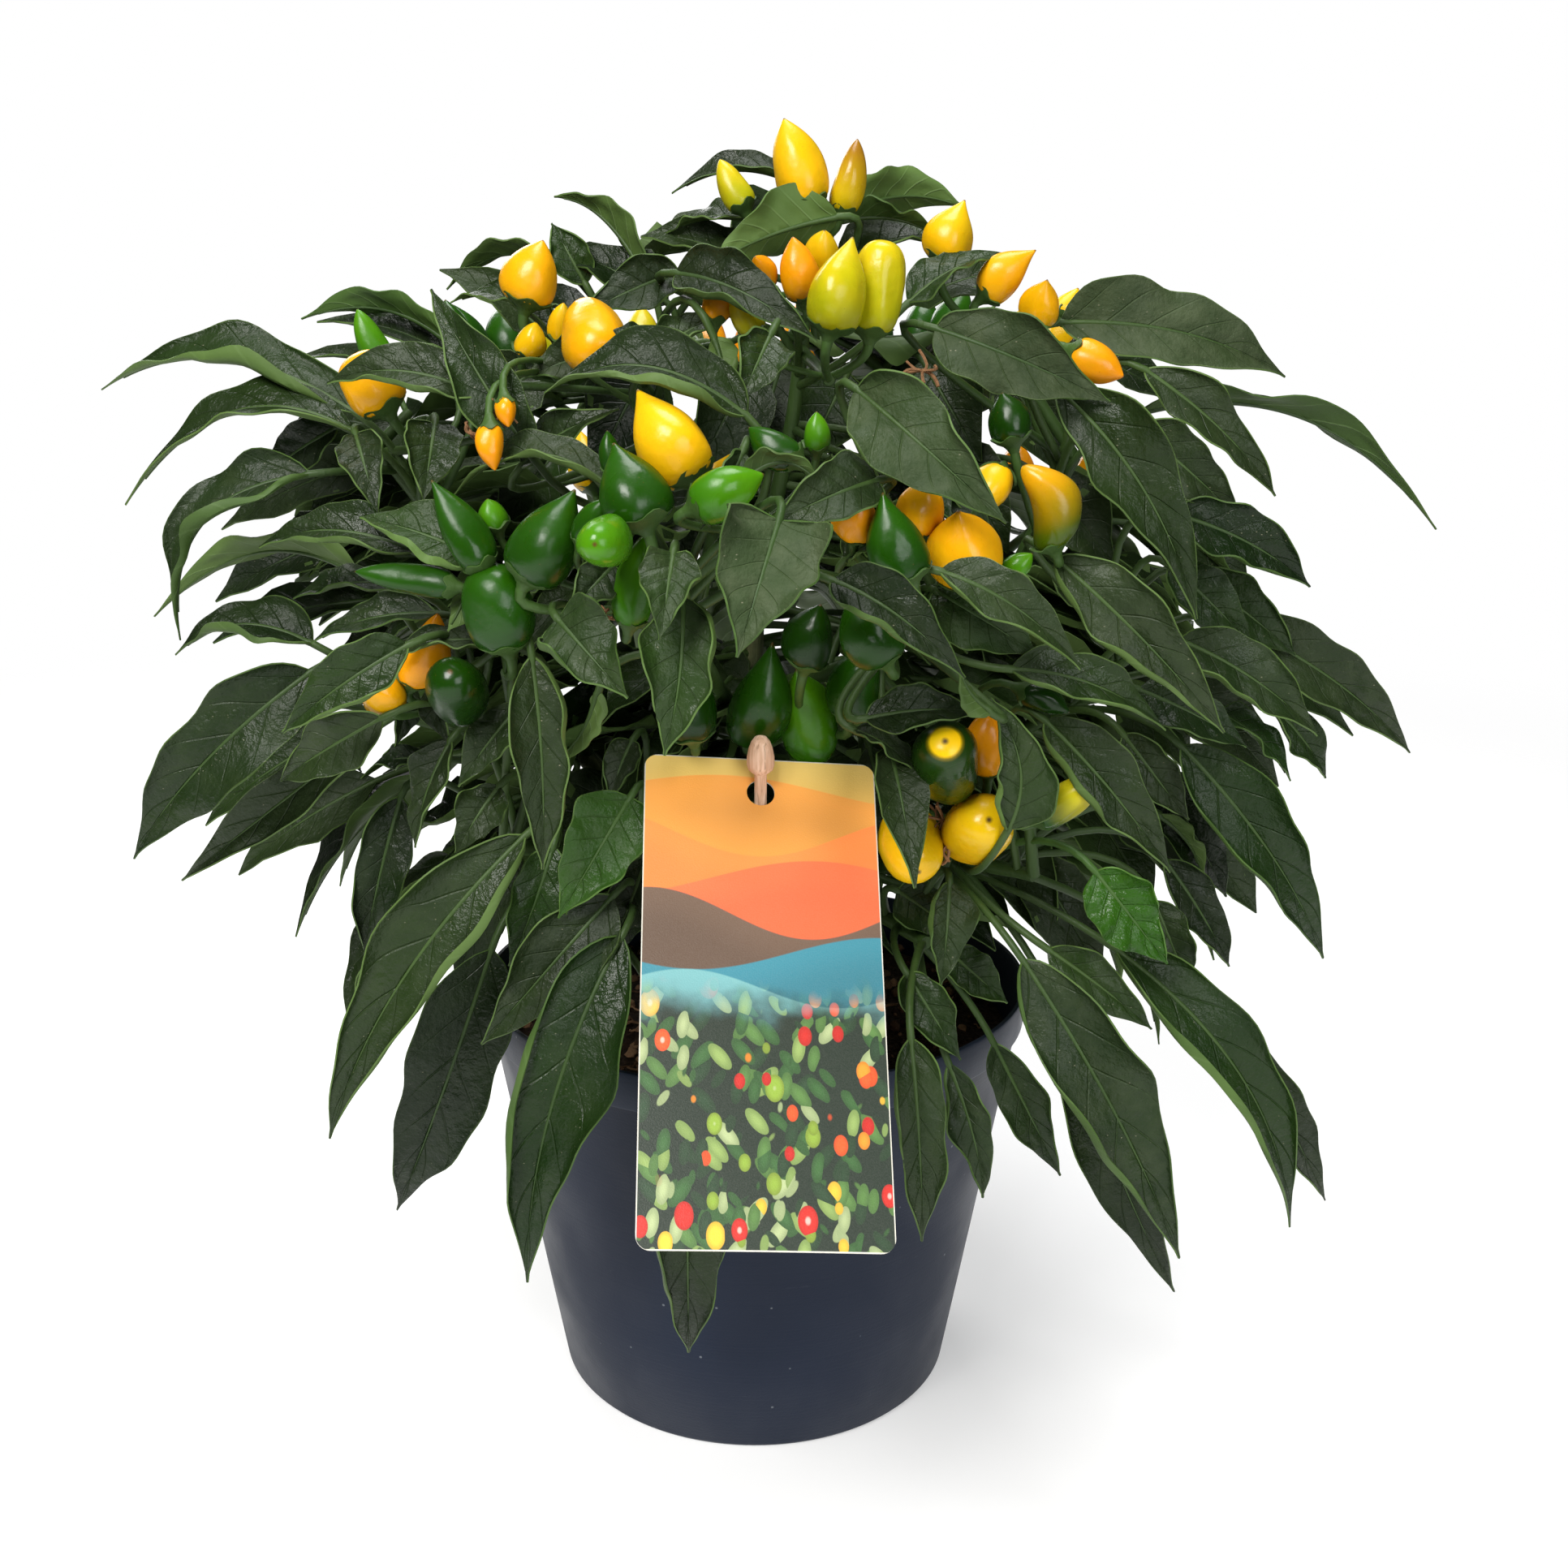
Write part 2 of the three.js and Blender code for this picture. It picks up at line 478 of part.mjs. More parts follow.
// A leaf of the front tables: its ends, midrib curve, width and the side that it faces.
function seenLeaf(row, index) {
  const [x0, z0, f0, x1, z1, f1, width, roll, bowX = 0, bowZ = 0, curlA = 0, curlB = 0] = row;
  const share = (-viewPoint.y - (f0 + f1) / 2) / -viewPoint.y;
  return shapeLeaf({
    base: fromView(x0, z0, f0),
    tip: fromView(x1, z1, f1),
    bow: new THREE.Vector3(bowX * share, 0, bowZ * share),
    width: width * share,
    faces: viewPoint,
    roll, curlA, curlB, index,
  });
}

// Adds the midrib curve and the cross directions to a leaf.
function shapeLeaf(leaf) {
  const { base, tip, bow, faces, roll } = leaf;
  const length = base.distanceTo(tip);
  const along = tip.clone().sub(base).normalize();
  const middle = base.clone().add(tip).multiplyScalar(0.5);
  const sight = faces.clone().sub(middle).normalize();
  const side = along.clone().cross(sight).normalize();
  const face = side.clone().cross(along);
  const angle = THREE.MathUtils.degToRad(roll);
  const across = side.clone().multiplyScalar(Math.cos(angle)).addScaledVector(face, Math.sin(angle));
  const upper = face.clone().multiplyScalar(Math.cos(angle)).addScaledVector(side, -Math.sin(angle));
  const bend = bow.clone().addScaledVector(upper, length * leafMake.arch).multiplyScalar(2);
  const midrib = new THREE.QuadraticBezierCurve3(base, middle.clone().add(bend), tip);
  return { ...leaf, length, across, midrib };
}

// Gives each leaf of a stem its own place along the twig: the nearest one that keeps a step from the others.
function placeRoots(leaves, path) {
  const length = pathLength(path);
  const step = Math.min(twigMake.rootStep, (length - twigMake.bareFoot) / leaves.length);
  const wished = leaves.map((leaf) => {
    const aim = leaf.base.clone()
      .addScaledVector(leaf.midrib.getTangent(0), -leafMake.petioleReach * leaf.length);
    return { leaf, at: lengthAt(path, aim), reach: leaf.base.distanceTo(path[0]) };
  });
  wished.sort((a, b) => b.at + 0.1 * b.reach - a.at - 0.1 * a.reach);
  let limit = length - twigMake.radius[1];
  for (const { leaf, at } of wished) {
    const place = Math.max(Math.min(at, limit), twigMake.bareFoot);
    limit = place - step;
    const axis = pointAlong(path, place);
    const out = leaf.base.clone().sub(axis).normalize();
    leaf.root = axis.addScaledVector(out, twigMake.rootDepth);
    leaf.stalk = petiolePoints(leaf);
  }
}

// The petiole as points from the stem to the foot of the blade.
function petiolePoints({ root, base, midrib }) {
  const reach = leafMake.petioleBend * root.distanceTo(base);
  const bend = base.clone().addScaledVector(midrib.getTangent(0), -reach);
  const curve = new THREE.QuadraticBezierCurve3(root, bend, base);
  return [root, curve.getPoint(0.5), base];
}

// Cross directions of a leaf where its midrib or petiole runs along a direction.
function crossFrame(side, along) {
  const across = side.clone().addScaledVector(along, -side.dot(along)).normalize();
  return { across, upper: across.clone().cross(along) };
}

// A leaf as one closed solid: a three-sided petiole that opens into a thin folded blade.
function leafSolid(leaf) {
  const { thickness, petioleRadius, wave, waveTurns } = leafMake;
  const stations = leaf.length < leafMake.smallLength ? leafMake.smallStations : leafMake.stations;
  const vertices = [];
  const put = (p, toAcross, across, toUpper, upper) =>
    vertices.push(p.clone().addScaledVector(across, toAcross).addScaledVector(upper, toUpper));
  const { stalk } = leaf;
  let side = leaf.across;
  const rings = stalk.map((p, i) => {
    const k = stalk.length - 1 - i;
    const ahead = k === stalk.length - 1 ? stalk[k].clone().add(leaf.midrib.getTangent(0)) : stalk[k + 1];
    const behind = k === 0 ? stalk[0] : stalk[k - 1];
    const frame = crossFrame(side, ahead.clone().sub(behind).normalize());
    side = frame.across;
    return { p: stalk[k], ...frame };
  }).reverse();
  for (const { p, across, upper } of rings) {
    put(p, 0, across, petioleRadius, upper);
    put(p, petioleRadius, across, -petioleRadius / 2, upper);
    put(p, -petioleRadius, across, -petioleRadius / 2, upper);
  }
  for (const u of stations) {
    const { across, upper } = crossFrame(leaf.across, leaf.midrib.getTangent(u));
    const centre = leaf.midrib.getPoint(u);
    const width = leaf.width * bladeProfile(u) / 2;
    const margin = (sign, curl) => {
      const [out, up] = marginPlace(curl);
      const ripple = wave * Math.sin(2 * Math.PI * waveTurns * u + 2.1 * sign + 1.7 * leaf.index);
      const normal = upper.clone().multiplyScalar(out).addScaledVector(across, -sign * up).normalize();
      const p = centre.clone().addScaledVector(across, sign * out * width)
        .addScaledVector(upper, (up + ripple) * width);
      return [p, normal];
    };
    const points = [margin(1, leaf.curlA), [centre, upper], margin(-1, leaf.curlB)];
    for (const face of [0.5, -0.5]) {
      for (const [p, normal] of points) vertices.push(p.clone().addScaledVector(normal, face * thickness));
    }
  }
  vertices.push(leaf.tip);
  return toSolid(indexed(vertices, leafTriangles(stalk.length, stations.length)));
}

// Triangles of a leaf: rings of three points up the petiole, then stations of three points on the upper
// face and three on the lower face, then the tip. Both faces are split alike.
function leafTriangles(ringCount, stationCount) {
  const triangles = [[0, 2, 1]];
  for (let i = 0; i < ringCount - 1; i += 1) {
    for (let k = 0; k < 3; k += 1) {
      const p = 3 * i + k;
      const q = 3 * i + ((k + 1) % 3);
      triangles.push([p, q, q + 3], [p, q + 3, p + 3]);
    }
  }
  const top = 3 * (ringCount - 1);
  const [sideA, sideB] = [top + 1, top + 2];
  const at = (station, k) => 3 * ringCount + 6 * station + k;
  triangles.push(
    [top, at(0, 0), at(0, 1)], [top, sideA, at(0, 0)], [top, at(0, 1), at(0, 2)], [top, at(0, 2), sideB],
    [sideA, at(0, 3), at(0, 0)], [sideB, at(0, 2), at(0, 5)],
    [sideA, at(0, 4), at(0, 3)], [sideA, sideB, at(0, 4)], [sideB, at(0, 5), at(0, 4)],
  );
  for (let s = 0; s < stationCount - 1; s += 1) {
    const [a, m, b, c, n, d] = [0, 1, 2, 3, 4, 5].map((k) => at(s, k));
    const [a2, m2, b2, c2, n2, d2] = [0, 1, 2, 3, 4, 5].map((k) => at(s + 1, k));
    triangles.push(
      [m, a, a2], [m, a2, m2], [b, m, m2], [b, m2, b2],
      [n, c2, c], [n, n2, c2], [d, n2, n], [d, d2, n2],
      [a, c, c2], [a, c2, a2], [b, d2, d], [b, b2, d2],
    );
  }
  const [a, m, b, c, n, d] = [0, 1, 2, 3, 4, 5].map((k) => at(stationCount - 1, k));
  const tip = at(stationCount, 0);
  triangles.push([m, a, tip], [b, m, tip], [n, tip, c], [d, tip, n], [a, c, tip], [b, tip, d]);
  return triangles;
}

// ---- Fruits ----

function seenFruit([x0, z0, f0, x1, z1, f1, diameter]) {
  const share = (-viewPoint.y - (f0 + f1) / 2) / -viewPoint.y;
  return { base: fromView(x0, z0, f0), tip: fromView(x1, z1, f1), radius: (diameter / 2) * share };
}

// A pointed, round-shouldered fruit with the stalk that joins it to its bunch. The stalk is three-sided and
// opens into the calyx. grow makes it larger all round.
function fruitSolid({ base, tip, radius, root }, grow = 0) {
  const { stalkRadius, calyxShare, calyxDepth, shape, smallShape, smallRadius } = fruitMake;
  const axis = tip.clone().sub(base);
  const direction = axis.clone().normalize();
  const start = base.clone().addScaledVector(direction, -calyxDepth);
  const body = radius < smallRadius ? smallShape : shape;
  const rings = [
    { p: root, r: stalkRadius, sides: 3, along: start.clone().sub(root).normalize() },
    { p: start, r: stalkRadius, sides: 3, along: direction },
    { p: base, r: radius * calyxShare, sides: 6, along: direction },
    ...body.map(([u, share]) => (
      { p: base.clone().addScaledVector(axis, u), r: radius * share, sides: 6, along: direction })),
  ];
  const vertices = [];
  let side = anySide;
  for (const { p, r, sides, along } of rings) {
    side = side.clone().addScaledVector(along, -side.dot(along)).normalize();
    const other = along.clone().cross(side);
    for (let k = 0; k < sides; k += 1) {
      const angle = (2 * Math.PI * k) / sides;
      vertices.push(p.clone().addScaledVector(side, Math.cos(angle) * (r + grow))
        .addScaledVector(other, Math.sin(angle) * (r + grow)));
    }
  }
  vertices.push(tip.clone().addScaledVector(direction, 2 * grow));
  const triangles = [[0, 2, 1]];
  for (let k = 0; k < 3; k += 1) {
    const [a, b] = [k, (k + 1) % 3];
    triangles.push([a, b, b + 3], [a, b + 3, a + 3]);
    const [low, middle, high] = [6 + 2 * a, 7 + 2 * a, 6 + 2 * b];
    triangles.push([a + 3, middle, low], [a + 3, b + 3, middle], [b + 3, high, middle]);
  }
  const last = 6 * body.length + 6;
  for (let k = 0; k < 6; k += 1) {
    const next = (k + 1) % 6;
    for (let ring = 6; ring < last; ring += 6) {
      triangles.push([ring + k, ring + next, ring + next + 6], [ring + k, ring + next + 6, ring + k + 6]);
    }
    triangles.push([last + k, last + next, last + 6]);
  }
  return toSolid(indexed(vertices, triangles));
}

// ---- The back of the plant ----

function onCircle(degrees, radius, z) {
  const angle = THREE.MathUtils.degToRad(degrees);
  return new THREE.Vector3(Math.cos(angle) * radius, Math.sin(angle) * radius, z);
}

// Stems that climb round the back, each with the leaves of the tiers nearest to its angle.
function makeRearStems() {
  const draw = seededDraw(rear.seed);
  const { wander } = rear;
  const stems = rear.stemAngles.map((angle, i) => ({
    name: `leafy_stem_back_${i + 1}`,
    path: rear.stemRise.map(([radius, z]) => onCircle(angle, radius, z)),
    leaves: [],
  }));
  let index = 0;
  rear.tiers.forEach((tier, level) => {
    const step = (180 - 2 * tier.from) / tier.count;
    for (let k = 0; k < tier.count; k += 1) {
      const shift = wander.turn * (draw() - 0.5) + (level % 2 ? rear.tierShift : -rear.tierShift);
      const angle = tier.from + step * (k + 0.5 + shift);
      const lift = wander.lift * (draw() - 0.5);
      const swing = wander.swing * (draw() - 0.5);
      const leaf = shapeLeaf({
        base: onCircle(angle, tier.baseRadius, tier.baseZ + lift),
        tip: onCircle(angle + swing, tier.tipRadius, tier.tipZ + 1.6 * lift),
        bow: new THREE.Vector3(),
        width: tier.width * (1 + wander.width * (draw() - 0.5)),
        faces: onCircle(angle, -viewPoint.y, viewPoint.z),
        roll: wander.roll * (draw() - 0.5),
        curlA: draw() < 0.4 ? 0.8 : 0.1,
        curlB: draw() < 0.3 ? 0.7 : 0,
        index: 200 + index,
      });
      index += 1;
      const gaps = rear.stemAngles.map((stem) => Math.abs(stem - angle));
      stems[gaps.indexOf(Math.min(...gaps))].leaves.push(leaf);
    }
  });
  return stems;
}

// Bunches at the back stand between the tiers of leaves, three fruits to a bunch.
function makeRearBunches() {
  const draw = seededDraw(rear.seed + 1);
  const { fan, lean, length, diameter, hubInward, hubBelow, stagger, stalkStep } = rearFruit;
  return rearBunches.map(([angle, radius, z, tone], i) => {
    const gaps = rear.stemAngles.map((stem) => Math.abs(stem - angle));
    const { path } = stems.find((s) => s.name === `leafy_stem_back_${gaps.indexOf(Math.min(...gaps)) + 1}`);
    const end = onCircle(angle, radius - hubInward, z - hubBelow);
    const start = pointAlong(path, lengthAt(path, end));
    const fruits = [0, 1, -1].map((turn, k) => {
      const size = 0.85 + 0.3 * draw();
      const base = onCircle(angle + turn * fan, radius - stagger * k, z + 5 * (draw() - 0.5));
      const tip = onCircle(angle + turn * (fan + 4 * draw()), radius + lean * draw(), base.z + length * size);
      const root = start.clone().lerp(end, 1 - stalkStep * k);
      return { base, tip, root, radius: (diameter * size) / 2 };
    });
    return { name: `fruit_bunch_back_${i + 1}`, tone, stalk: [start, end], fruits };
  });
}

// ---- Pieces ----

function makePot() {
  const { height, rimRadius, baseRadius, wall, bandHeight, bandStep, bandFlare, bandBevel, floor } = pot;
  const bandFoot = height - bandHeight;
  const underBand = rimRadius - bandStep;
  const outline = [
    [0, 0], [baseRadius, 0], [underBand, bandFoot], [rimRadius - bandFlare, bandFoot + bandBevel],
    [rimRadius, height], [rimRadius - wall, height], [underBand - wall, bandFoot - bandBevel],
    [baseRadius - wall, floor], [0, floor],
  ];
  const shell = new THREE.LatheGeometry(outline.map((p) => new THREE.Vector2(...p)), pot.sides);
  shell.rotateX(Math.PI / 2);
  let solid = toSolid(shell);
  for (let i = 0; i < drainHoles.count; i += 1) {
    const { count, circleRadius, radius, length, sides } = drainHoles;
    const hole = new THREE.CylinderGeometry(radius, radius, length, sides);
    hole.rotateX(Math.PI / 2);
    const place = onCircle((360 * i) / count, circleRadius, 0);
    hole.translate(place.x, place.y, place.z);
    solid = solid.subtract(toSolid(hole));
  }
  return solid;
}

// The height of the soil's lumpy top.
function soilHeight(x, y) {
  const waves = Math.sin(x / 9 + 1.3) * Math.cos(y / 11) + 0.7 * Math.sin(y / 6.5 + x / 17 + 0.4);
  return soil.top + soil.lump * waves;
}

function makeSoil() {
  const { wall, height, rimRadius, bandHeight, bandStep, bandBevel, baseRadius, floor } = pot;
  const bottom = floor + soil.gap;
  const bottomRadius = baseRadius - wall - soil.gap;
  const slope = (rimRadius - bandStep - baseRadius) / (height - bandHeight - bandBevel - floor);
  const edgeZ = soil.top - soil.edgeDrop;
  const edgeRadius = bottomRadius + slope * (edgeZ - bottom);
  const vertices = [new THREE.Vector3(0, 0, soilHeight(0, 0)), new THREE.Vector3(0, 0, bottom)];
  const ring = (radius, z) => {
    const first = vertices.length;
    for (let k = 0; k < soil.sides; k += 1) {
      const p = onCircle((360 * k) / soil.sides, radius, 0);
      p.z = z === null ? soilHeight(p.x, p.y) : z;
      vertices.push(p);
    }
    return first;
  };
  const rings = soil.rings.map((share) => ring(share * edgeRadius, null));
  rings.push(ring(edgeRadius, edgeZ), ring(bottomRadius, bottom));
  const triangles = [];
  for (let k = 0; k < soil.sides; k += 1) {
    const next = (k + 1) % soil.sides;
    triangles.push([0, rings[0] + k, rings[0] + next]);
    for (let i = 0; i < rings.length - 1; i += 1) {
      triangles.push([rings[i] + k, rings[i + 1] + k, rings[i + 1] + next]);
      triangles.push([rings[i] + k, rings[i + 1] + next, rings[i] + next]);
    }
    triangles.push([1, rings.at(-1) + next, rings.at(-1) + k]);
  }
  let solid = toSolid(indexed(vertices, triangles));
  const { holeLength, holeSides } = soil;
  for (const [from, to, holeRadius] of [
    [[0, 0, trunk.depth], [0, 0, soil.top], trunk.holeRadius],
    [stick.foot, stick.tip, stick.radius + clearance],
  ]) {
    const hole = new THREE.CylinderGeometry(holeRadius, holeRadius, holeLength, holeSides);
    hole.rotateX(Math.PI / 2);
    hole.translate(0, 0, holeLength / 2 - clearance);
    solid = solid.subtract(stoodOn(hole, from, to));
  }
  return solid;
}

function makeTrunk(extra = 0) {
  const parts = Object.entries(limbs).map(([name, { path, radius }]) =>
    taperedTube(path.map(point), radius, name === "stump" ? trunk.sides : trunk.limbSides, extra));
  return wasm.Manifold.union(parts);
}

// Stands a geometry that rises from the origin on one point, so that it runs towards another.
function stoodOn(geometry, from, to) {
  const along = point(to).sub(point(from)).normalize();
  geometry.applyQuaternion(new THREE.Quaternion().setFromUnitVectors(new THREE.Vector3(0, 0, 1), along));
  geometry.translate(...from);
  return toSolid(geometry);
}

// The stick leans a little to the front. Its neck holds the card.
function makeStick() {
  const { foot, tip, radius, neckRadius, neckHeight, neckFromTip, taper, footLength, footRadius } = stick;
  const { tipLength, tipShoulder } = stick;
  const length = point(foot).distanceTo(point(tip));
  const neckFoot = length - neckFromTip - neckHeight / 2;
  const neckTop = neckFoot + neckHeight;
  const outline = [
    [0, 0], [footRadius, 0], [radius, footLength], [radius, neckFoot - taper],
    [neckRadius, neckFoot], [neckRadius, neckTop], [radius, neckTop + taper], [radius, length - tipLength],
    [radius * tipShoulder, length - tipLength * (1 - tipShoulder)], [0, length],
  ];
  const geometry = new THREE.LatheGeometry(outline.map((p) => new THREE.Vector2(...p)), stick.sides);
  geometry.rotateX(Math.PI / 2);
  return stoodOn(geometry, foot, tip);
}

// The middle of the stick's neck, where the card's hole is.
function neckPoint() {
  const { foot, tip, neckFromTip } = stick;
  return point(tip).add(point(foot).sub(point(tip)).setLength(neckFromTip));
}

// The card leans out at its foot. Its hole is centred on the stick.
function makeCard() {
  const { width, height, thickness, corner, holeRadius, holeFromTop } = card;
  const { leanDegrees, turnDegrees, yawDegrees } = card;
  const outline = new THREE.Shape();
  const left = -width / 2;
  const right = width / 2;
  const low = holeFromTop - height;
  outline.moveTo(left + corner, low);
  outline.lineTo(right - corner, low);
  outline.absarc(right - corner, low + corner, corner, -Math.PI / 2, 0);
  outline.absarc(right - corner, holeFromTop - corner, corner, 0, Math.PI / 2);
  outline.absarc(left + corner, holeFromTop - corner, corner, Math.PI / 2, Math.PI);
  outline.absarc(left + corner, low + corner, corner, Math.PI, 1.5 * Math.PI);
  const hole = new THREE.Path();
  hole.absarc(0, 0, holeRadius, 0, 2 * Math.PI, true);
  outline.holes.push(hole);
  const geometry = new THREE.ExtrudeGeometry(outline,
    { depth: thickness, bevelEnabled: false, curveSegments: 3 });
  geometry.translate(0, 0, -thickness / 2);
  geometry.rotateZ(THREE.MathUtils.degToRad(-turnDegrees));
  geometry.rotateX(THREE.MathUtils.degToRad(90 - leanDegrees));
  geometry.rotateZ(THREE.MathUtils.degToRad(yawDegrees));
  const place = neckPoint();
  geometry.translate(place.x, place.y, place.z);
  return toSolid(geometry);
}

// ---- The plant ----

// Every leafy stem with its twig and leaves as separate solids, before they are joined.
function makeStems() {
  const { petioleRadius } = leafMake;
  const grownBy = 2 * clearance;
  let index = 0;
  const front = Object.entries(frontStems).map(([name, { path, leaves }]) => ({
    name: `leafy_stem_${name}`,
    path: path.map(point),
    leaves: leaves.map((row) => seenLeaf(row, index++)),
  }));
  const all = [...front, ...makeRearStems()];
  for (const stem of all) {
    placeRoots(stem.leaves, stem.path);
    stem.twig = taperedTube(stem.path, twigMake.radius, twigMake.sides);
    stem.grownTwig = taperedTube(stem.path, twigMake.radius, twigMake.sides, grownBy);
    for (const leaf of stem.leaves) {
      leaf.solid = leafSolid(leaf);
      leaf.petiole = taperedTube(leaf.stalk, [petioleRadius, petioleRadius], 4, grownBy);
    }
  }
  return all;
}

// The fruits of a bunch leave its main stalk one step apart, from its end inwards.
function makeBunches() {
  const { stalkStep, firstStalk, lastStalk } = fruitMake;
  return Object.entries(frontBunches).map(([name, { tone, stem, at, hub, fruits }]) => {
    const { path } = stems.find((s) => s.name === `leafy_stem_${stem}`);
    const end = fromView(...hub);
    const start = pointAlong(path, at ? at * pathLength(path) : lengthAt(path, end));
    const length = start.distanceTo(end);
    return {
      name: `fruit_bunch_${name}`, tone, stalk: [start, end],
      fruits: fruits.map((row, i) => {
        const share = Math.max(lastStalk, 1 - (firstStalk + stalkStep * i) / length);
        return { ...seenFruit(row), root: start.clone().lerp(end, share) };
      }),
    };
  });
}

const boxesMeet = (a, b) => {
  const p = a.boundingBox();
  const q = b.boundingBox();
  return [0, 1, 2].every((k) => p.min[k] < q.max[k] && q.min[k] < p.max[k]);
};

// The largest body of a solid that a cut has left in pieces.
const largest = (solid) => solid.decompose().sort((a, b) => b.volume() - a.volume())[0];

// Takes out the small triangles that joining leaves behind, where the surface moves less than evenTo.
const evened = (solid) => solid.asOriginal().simplify(evenTo);

const stems = makeStems();
const bunches = [...makeBunches(), ...makeRearBunches()];
const trunkSolid = makeTrunk();
const grownTrunk = makeTrunk(clearance);
const stalks = stems.flatMap((stem) => [stem.grownTwig, ...stem.leaves.map((leaf) => leaf.petiole)]);

const plant = new THREE.Group();

function addPiece(name, solid, material) {
  const mesh = new THREE.Mesh(toGeometry(solid), material);
  mesh.name = name;
  plant.add(mesh);
}

// Fruits and stalks of a bunch are one body, which stops just short of the stem that carries it.
for (const bunch of bunches) {
  const make = (grow) => wasm.Manifold.union([
    taperedTube(bunch.stalk, fruitMake.mainRadius, 4, grow),
    ...bunch.fruits.map((fruit) => fruitSolid(fruit, grow)),
  ]);
  bunch.whole = make(0);
  const near = stalks.filter((stalk) => boxesMeet(bunch.whole, stalk));
  bunch.solid = evened(largest(bunch.whole.subtract(wasm.Manifold.union([grownTrunk, ...near]))));
  bunch.cutter = make(bladeHoleGap).subtract(wasm.Manifold.union(near));
}

// Where a stalk passes through a blade, the blade has a hole for it.
for (const stem of stems) {
  const leaves = stem.leaves.map((leaf) => {
    const cutters = bunches.map((bunch) => bunch.cutter).filter((cutter) => boxesMeet(leaf.solid, cutter));
    return cutters.length ? largest(leaf.solid.subtract(wasm.Manifold.union(cutters))) : leaf.solid;
  });
  stem.solid = evened(largest(wasm.Manifold.union([stem.twig, ...leaves]).subtract(grownTrunk)));
}

addPiece("pot", makePot(), materials.potPlastic);
addPiece("soil", makeSoil(), materials.peat);
addPiece("trunk", trunkSolid, materials.bark);
addPiece("label_stick", makeStick(), materials.wood);
addPiece("label_card", makeCard(), materials.print);
for (const stem of stems) addPiece(stem.name, stem.solid, materials.leaf);
for (const bunch of bunches) addPiece(bunch.name, bunch.solid, materials[bunch.tone]);

export default plant;
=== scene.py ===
# The looks of the potted chilli pepper plant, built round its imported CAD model. Blender works in metres. The
# tables are in millimetres, as in the part's source, and every mesh is scaled when it is made.
import json
import math

import bpy
import numpy as np
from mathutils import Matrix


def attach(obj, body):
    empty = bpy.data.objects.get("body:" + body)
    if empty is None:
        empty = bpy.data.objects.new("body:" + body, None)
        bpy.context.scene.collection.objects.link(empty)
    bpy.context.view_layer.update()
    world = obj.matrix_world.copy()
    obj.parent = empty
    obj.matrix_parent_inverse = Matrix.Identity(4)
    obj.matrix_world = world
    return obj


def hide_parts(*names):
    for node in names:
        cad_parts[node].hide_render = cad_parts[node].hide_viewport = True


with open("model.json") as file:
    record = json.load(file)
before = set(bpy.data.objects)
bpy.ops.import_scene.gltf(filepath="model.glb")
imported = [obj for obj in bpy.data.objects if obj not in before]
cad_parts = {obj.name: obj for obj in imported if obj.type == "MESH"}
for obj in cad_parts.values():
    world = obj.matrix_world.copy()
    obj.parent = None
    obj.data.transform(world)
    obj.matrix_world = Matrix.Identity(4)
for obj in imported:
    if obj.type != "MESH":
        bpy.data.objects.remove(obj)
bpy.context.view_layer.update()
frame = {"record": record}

SCALE = 0.001
PHOTO_PIXELS = 1932
# For every draw but those of the back and of the inner leaves.
SEED = 7

# The camera stands where the photograph was taken from.
CAMERA = {"place": (0, -560, 365), "pitch": 15.2, "focal_pixels": 2080, "shift_pixels": 36, "sensor": 36}

# Sizes of the pot, its soil, the label and the plant in millimetres, with the number of points round each.
POT = {"height": 145, "rim": 95, "base": 70, "wall": 2, "band": 13, "band_step": 2.4, "band_flare": 0.6,
       "floor": 3, "sides": 128}
DRAIN_HOLES = {"count": 8, "circle": 46, "radius": 4.5}
SOIL = {"top": 128, "edge_drop": 3, "level_to": 0.76, "lump": 2.2, "grain": 0.9, "gap": 0.6, "sides": 96,
        "rings": 26, "crumbs": 620, "fibres": 150, "clear": 3}
# The rings of a crumb, as height and radius for a size of 1.
CRUMB = [(-0.8, 0.5), (-0.25, 1.0), (0.4, 0.85), (0.85, 0.35)]
STICK = {"foot": (1.6, -67, 74), "tip": (1.7, -87, 251), "radius": 4.2, "neck": 1.8, "neck_height": 12,
         "neck_from_tip": 18}
CARD = {"width": 68, "height": 142.5, "thickness": 0.7, "corner": 4, "hole": 4.1, "hole_from_top": 10.9,
        "lean": 41.3, "turn": 6, "yaw": 10, "bow": 0.7, "bow_full_at": 60, "corner_steps": 8, "step": 5,
        "rings": [0, 0.1, 0.22, 0.36, 0.52, 0.68, 0.84, 1]}
# A blade's folds and curls are in radians, its arch, waves and twist are shares of its size, and its
# quilting, groove and midrib are in millimetres.
LEAF = {"thickness": 0.5, "taper": 1.28, "least_half": (0.9, 0.25), "margin": 1.03, "arch": 0.1,
        "fold": 0.26, "curl": 2.5, "curl_from": 0.55, "rest_curl": 0.45, "tip_uncurl": 0.5, "twist": 0.3,
        "twist_from": 0.25, "veins": 6, "vein_slant": 0.2, "quilt": 0.16, "groove": 0.45,
        "groove_width": 1.1, "relief_from": 6, "petiole": 1.15, "petiole_foot": 1.45,
        "rib": (0.95, 0.25), "rib_sink": 0.5, "fresh_spread": 0.12, "dust_spread": 0.35,
        "grid": (32, 8), "grid_powers": (1.08, 0.85)}
# Waves over a blade: strength, radians from its base to its tip, and how far each side and each leaf
# shift them.
WAVES = {
    "margin": (0.07, 11, 2.3, 1.9), "nicks": (0.04, 27, 4.1, 1), "wave": (0.18, 3 * math.pi, 2.1, 1.7),
    "frill": (0.12, 13, 2.2, 2.3), "crinkle": (0.06, 27, 1.3, 2.9),
}
